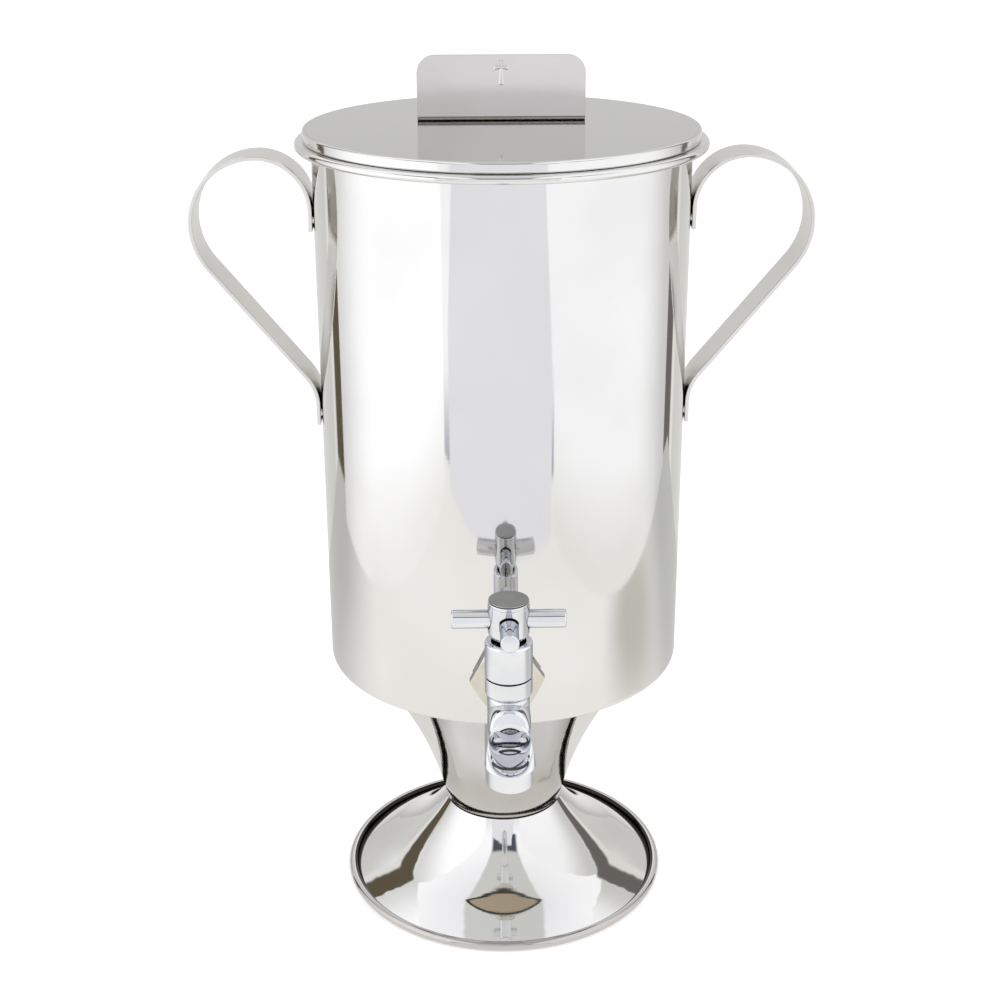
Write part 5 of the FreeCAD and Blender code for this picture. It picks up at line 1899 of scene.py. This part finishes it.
@dataclass
class Studio:
    """The plain pale floor, the soft light around the object, and the camera at the photograph's angle."""

    camera_place: Triple = (-15.9, -841.3, 562.9)
    pitch: float = 21.94
    swing: float = -0.98
    lean: float = -0.2
    lens: float = 61.36
    sensor: float = 36.0
    floor_size: float = 12.0
    table_corners: Sequence[Pair] = ((-640, -700), (700, -700), (700, 420), (-640, 420))
    cards: Sequence[Card] = (
        Card("card_left", (-425, -612), (-560, 240), (1.46, 1.47, 1.52, 1), (0.92, 0.92, 0.93, 1),
             (1.20, 1.20, 1.19, 1)),
        Card("card_front", (-400, -645), (297, -584), (1.06, 1.06, 1.12, 1), (1.06, 1.06, 1.12, 1),
             (1.06, 1.06, 1.12, 1), narrowing=176),
        Card("card_right", (312, -582), (680, 310), (1.30, 1.31, 1.35, 1), (0.82, 0.82, 0.82, 1),
             (1.10, 1.10, 1.08, 1)),
    )
    front_to_back: Pair = (-0.1, 0.26)
    low_until: float = 0.13
    shade_place: Pair = (0.46, -0.05)
    shade_reach: Pair = (0.05, 0.22)
    shade_level: Pair = (0.001, 0.002)
    shade_glow: Colour = (0.72, 0.70, 0.65, 1)
    paint_roughness: float = 0.9
    floor_drop: float = 0.0002
    floor_paint: Colour = (0.8, 0.8, 0.8, 1)
    floor_glow: Colour = (0.35, 0.35, 0.35, 1)
    table_drop: float = 0.4
    table_near: Colour = (1.17, 1.16, 1.14, 1)
    table_far: Colour = (0.66, 0.66, 0.65, 1)
    lamp_power: float = 3.0
    lamp_size: Pair = (0.7, 0.9)
    lamp_distance: float = 1.35
    lamp_bearing: float = 52.0
    lamp_height: float = 42.0
    lamp_aim: float = 0.22

    def build(self) -> None:
        """Set up floor, light and camera."""
        self.set_view()
        self.set_camera()
        self.set_floor()
        self.set_table()
        for card in self.cards:
            self.set_card(card)
        self.set_world()
        for side in Side:
            self.set_lamp(side)

    def set_view(self) -> None:
        """Show colours as they are written."""
        bpy.context.scene.view_settings.view_transform = "Standard"

    def set_camera(self) -> None:
        """Put the camera where the photograph was taken from."""
        data = bpy.data.cameras.new("photo_camera")
        data.lens = self.lens
        data.sensor_width = self.sensor
        camera = bpy.data.objects.new("photo_camera", data)
        camera.location = Vector(self.camera_place) * MM
        aim = Euler((math.radians(90 - self.pitch), 0, math.radians(self.swing))).to_matrix()
        camera.rotation_euler = (aim @ Matrix.Rotation(math.radians(self.lean), 3, "Z")).to_euler()
        bpy.context.scene.collection.objects.link(camera)
        bpy.context.scene.camera = camera

    def stage_material(self, name: str, colour: Colour, near: Colour, far: Colour,
                       low: Colour | None = None) -> bpy.types.Material:
        """A matt paint that glows, differently in front of the object and behind it.

        Args:
            name: The material's name.
            colour: The paint.
            near: The glow in front of the object.
            far: The glow behind it.
            low: The glow close to the table, if that differs.

        Returns:
            The material.
        """
        material = bpy.data.materials.new(name)
        material.use_nodes = True
        graph = Graph(material.node_tree)
        x, y, z = graph.axes(graph.place())
        behind = y.rise(*self.front_to_back)
        glow = graph.blend(behind, near, far)
        if low:
            glow = graph.blend((1 - z.rise(0, self.low_until)) * (1 - behind), glow, low)
        across, along = x - self.shade_place[0], y - self.shade_place[1]
        aside = (across * across + along * along).root()
        shaded = (1 - aside.rise(*self.shade_reach)) * (1 - abs(z).rise(*self.shade_level))
        sockets = {
            "Base Color": colour,
            "Roughness": self.paint_roughness,
            "Specular IOR Level": 0.0,
            "Emission Color": graph.blend(shaded, glow, self.shade_glow),
            "Emission Strength": 1.0,
        }
        surface = graph.output(graph.node("ShaderNodeBsdfPrincipled", sockets=sockets))
        graph.node("ShaderNodeOutputMaterial", sockets={"Surface": surface})
        return material

    def set_floor(self) -> None:
        """A wide pale floor that takes the shadow; polished steel sees the table instead."""
        to_object_mode()
        bpy.ops.mesh.primitive_plane_add(size=self.floor_size, location=(0, 0, -self.floor_drop))
        floor = bpy.context.object
        floor.name = "studio_floor"
        glow = self.floor_glow
        floor.data.materials.append(self.stage_material("pale_floor", self.floor_paint, glow, glow))
        floor.visible_glossy = False

    def set_table(self) -> None:
        """The white table top as polished steel sees it, out to its edges."""
        board = Board((0, 0, -self.table_drop), (1, 0, 0), (0, 1, 0))
        self.set_reflected("studio_table", board, self.table_corners, self.table_near, self.table_far)

    def set_card(self, card: Card) -> None:
        """Stand one card on the table, drawn in above its knee.

        Args:
            card: The card.
        """
        start = Vector((*card.start, 0))
        base = Vector((*card.end, 0)) - start
        length = base.length
        board = Board(tuple(start), tuple(base.normalized()), (0, 0, 1))
        corners = ((0, 0), (length, 0), (length, card.knee), (length - card.narrowing, card.height),
                   (card.narrowing, card.height), (0, card.knee))
        self.set_reflected(card.name, board, corners, card.near, card.far, card.low)

    def set_reflected(self, name: str, board: Board, corners: Sequence[Pair], near: Colour, far: Colour,
                      low: Colour | None = None) -> None:
        """A flat piece of the stage that is seen in polished metal only.

        Args:
            name: The piece's name.
            board: The board it is drawn on.
            corners: Its corners in order.
            near: Its glow in front of the object.
            far: Its glow behind it.
            low: Its glow close to the table, if that differs.
        """
        sheet = Outline(name, board, *corners[0])
        sheet.lines(*corners[1:])
        bpy.ops.mesh.select_all(action="SELECT")
        bpy.ops.mesh.edge_face_add()
        to_object_mode()
        piece = sheet.piece
        piece.data.materials.append(self.stage_material(name, (0, 0, 0, 1), near, far, low))
        piece.visible_camera = False
        piece.visible_diffuse = False
        piece.visible_shadow = False
        piece.visible_transmission = False

    def set_lamp(self, side: Side) -> None:
        """One large softbox at the front, to a side.

        Args:
            side: The side it stands on.
        """
        data = bpy.data.lights.new(f"softbox_{side.name.lower()}", "AREA")
        data.shape = "RECTANGLE"
        data.size, data.size_y = self.lamp_size
        data.energy = self.lamp_power
        lamp = bpy.data.objects.new(data.name, data)
        angle = math.radians(self.lamp_bearing) * side.value
        height = math.radians(self.lamp_height)
        level = math.cos(height)
        away = Vector((math.sin(angle) * level, -math.cos(angle) * level, math.sin(height)))
        lamp.location = Vector((0, 0, self.lamp_aim)) + away * self.lamp_distance
        lamp.rotation_euler = away.to_track_quat("Z", "Y").to_euler()
        lamp.visible_glossy = False
        bpy.context.scene.collection.objects.link(lamp)

    def set_world(self) -> None:
        """White to the camera; to everything else a room of white, grey and dark panels."""
        world = bpy.data.worlds.new("studio_room")
        bpy.context.scene.world = world
        world.use_nodes = True
        graph = Graph(world.node_tree)
        direction = graph.output(graph.node("ShaderNodeTexCoord"), "Generated")
        x, y, z = graph.axes(direction)
        degree = 180 / math.pi
        bearing = x.calculate("ARCTAN2", x, 0 - y) * degree
        height = z.calculate("ARCSINE", z) * degree
        view = View(bearing, abs(bearing), height, abs(x.calculate("DIVIDE", x, z)))
        room: SocketValue = WALLS
        for panel in ROOM:
            room = panel.over(graph, room, view)
        lit = graph.output(graph.node("ShaderNodeBackground", sockets={"Color": room, "Strength": 1.0}))
        plain = {"Color": (1, 1, 1, 1), "Strength": 1.0}
        white = graph.output(graph.node("ShaderNodeBackground", sockets=plain))
        seen = graph.output(graph.node("ShaderNodeLightPath"), "Is Camera Ray")
        mixed = graph.output(graph.node("ShaderNodeMixShader", sockets={0: seen, 1: lit, 2: white}))
        graph.node("ShaderNodeOutputWorld", sockets={"Surface": mixed})


def main() -> None:
    """Build the receptacle and its studio in order."""
    logging.basicConfig(level=logging.INFO, format="%(name)s: %(message)s")
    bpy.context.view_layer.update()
    Studio().build()
    Tank().build()
    Pedestal().build()
    for side in Side:
        StrapHandle(side).build()
    Lid().build()
    Tap().build()
    CrossHandle().build()
    InnerPieces().build()
    to_object_mode()


if __name__ == "__main__":
    main()
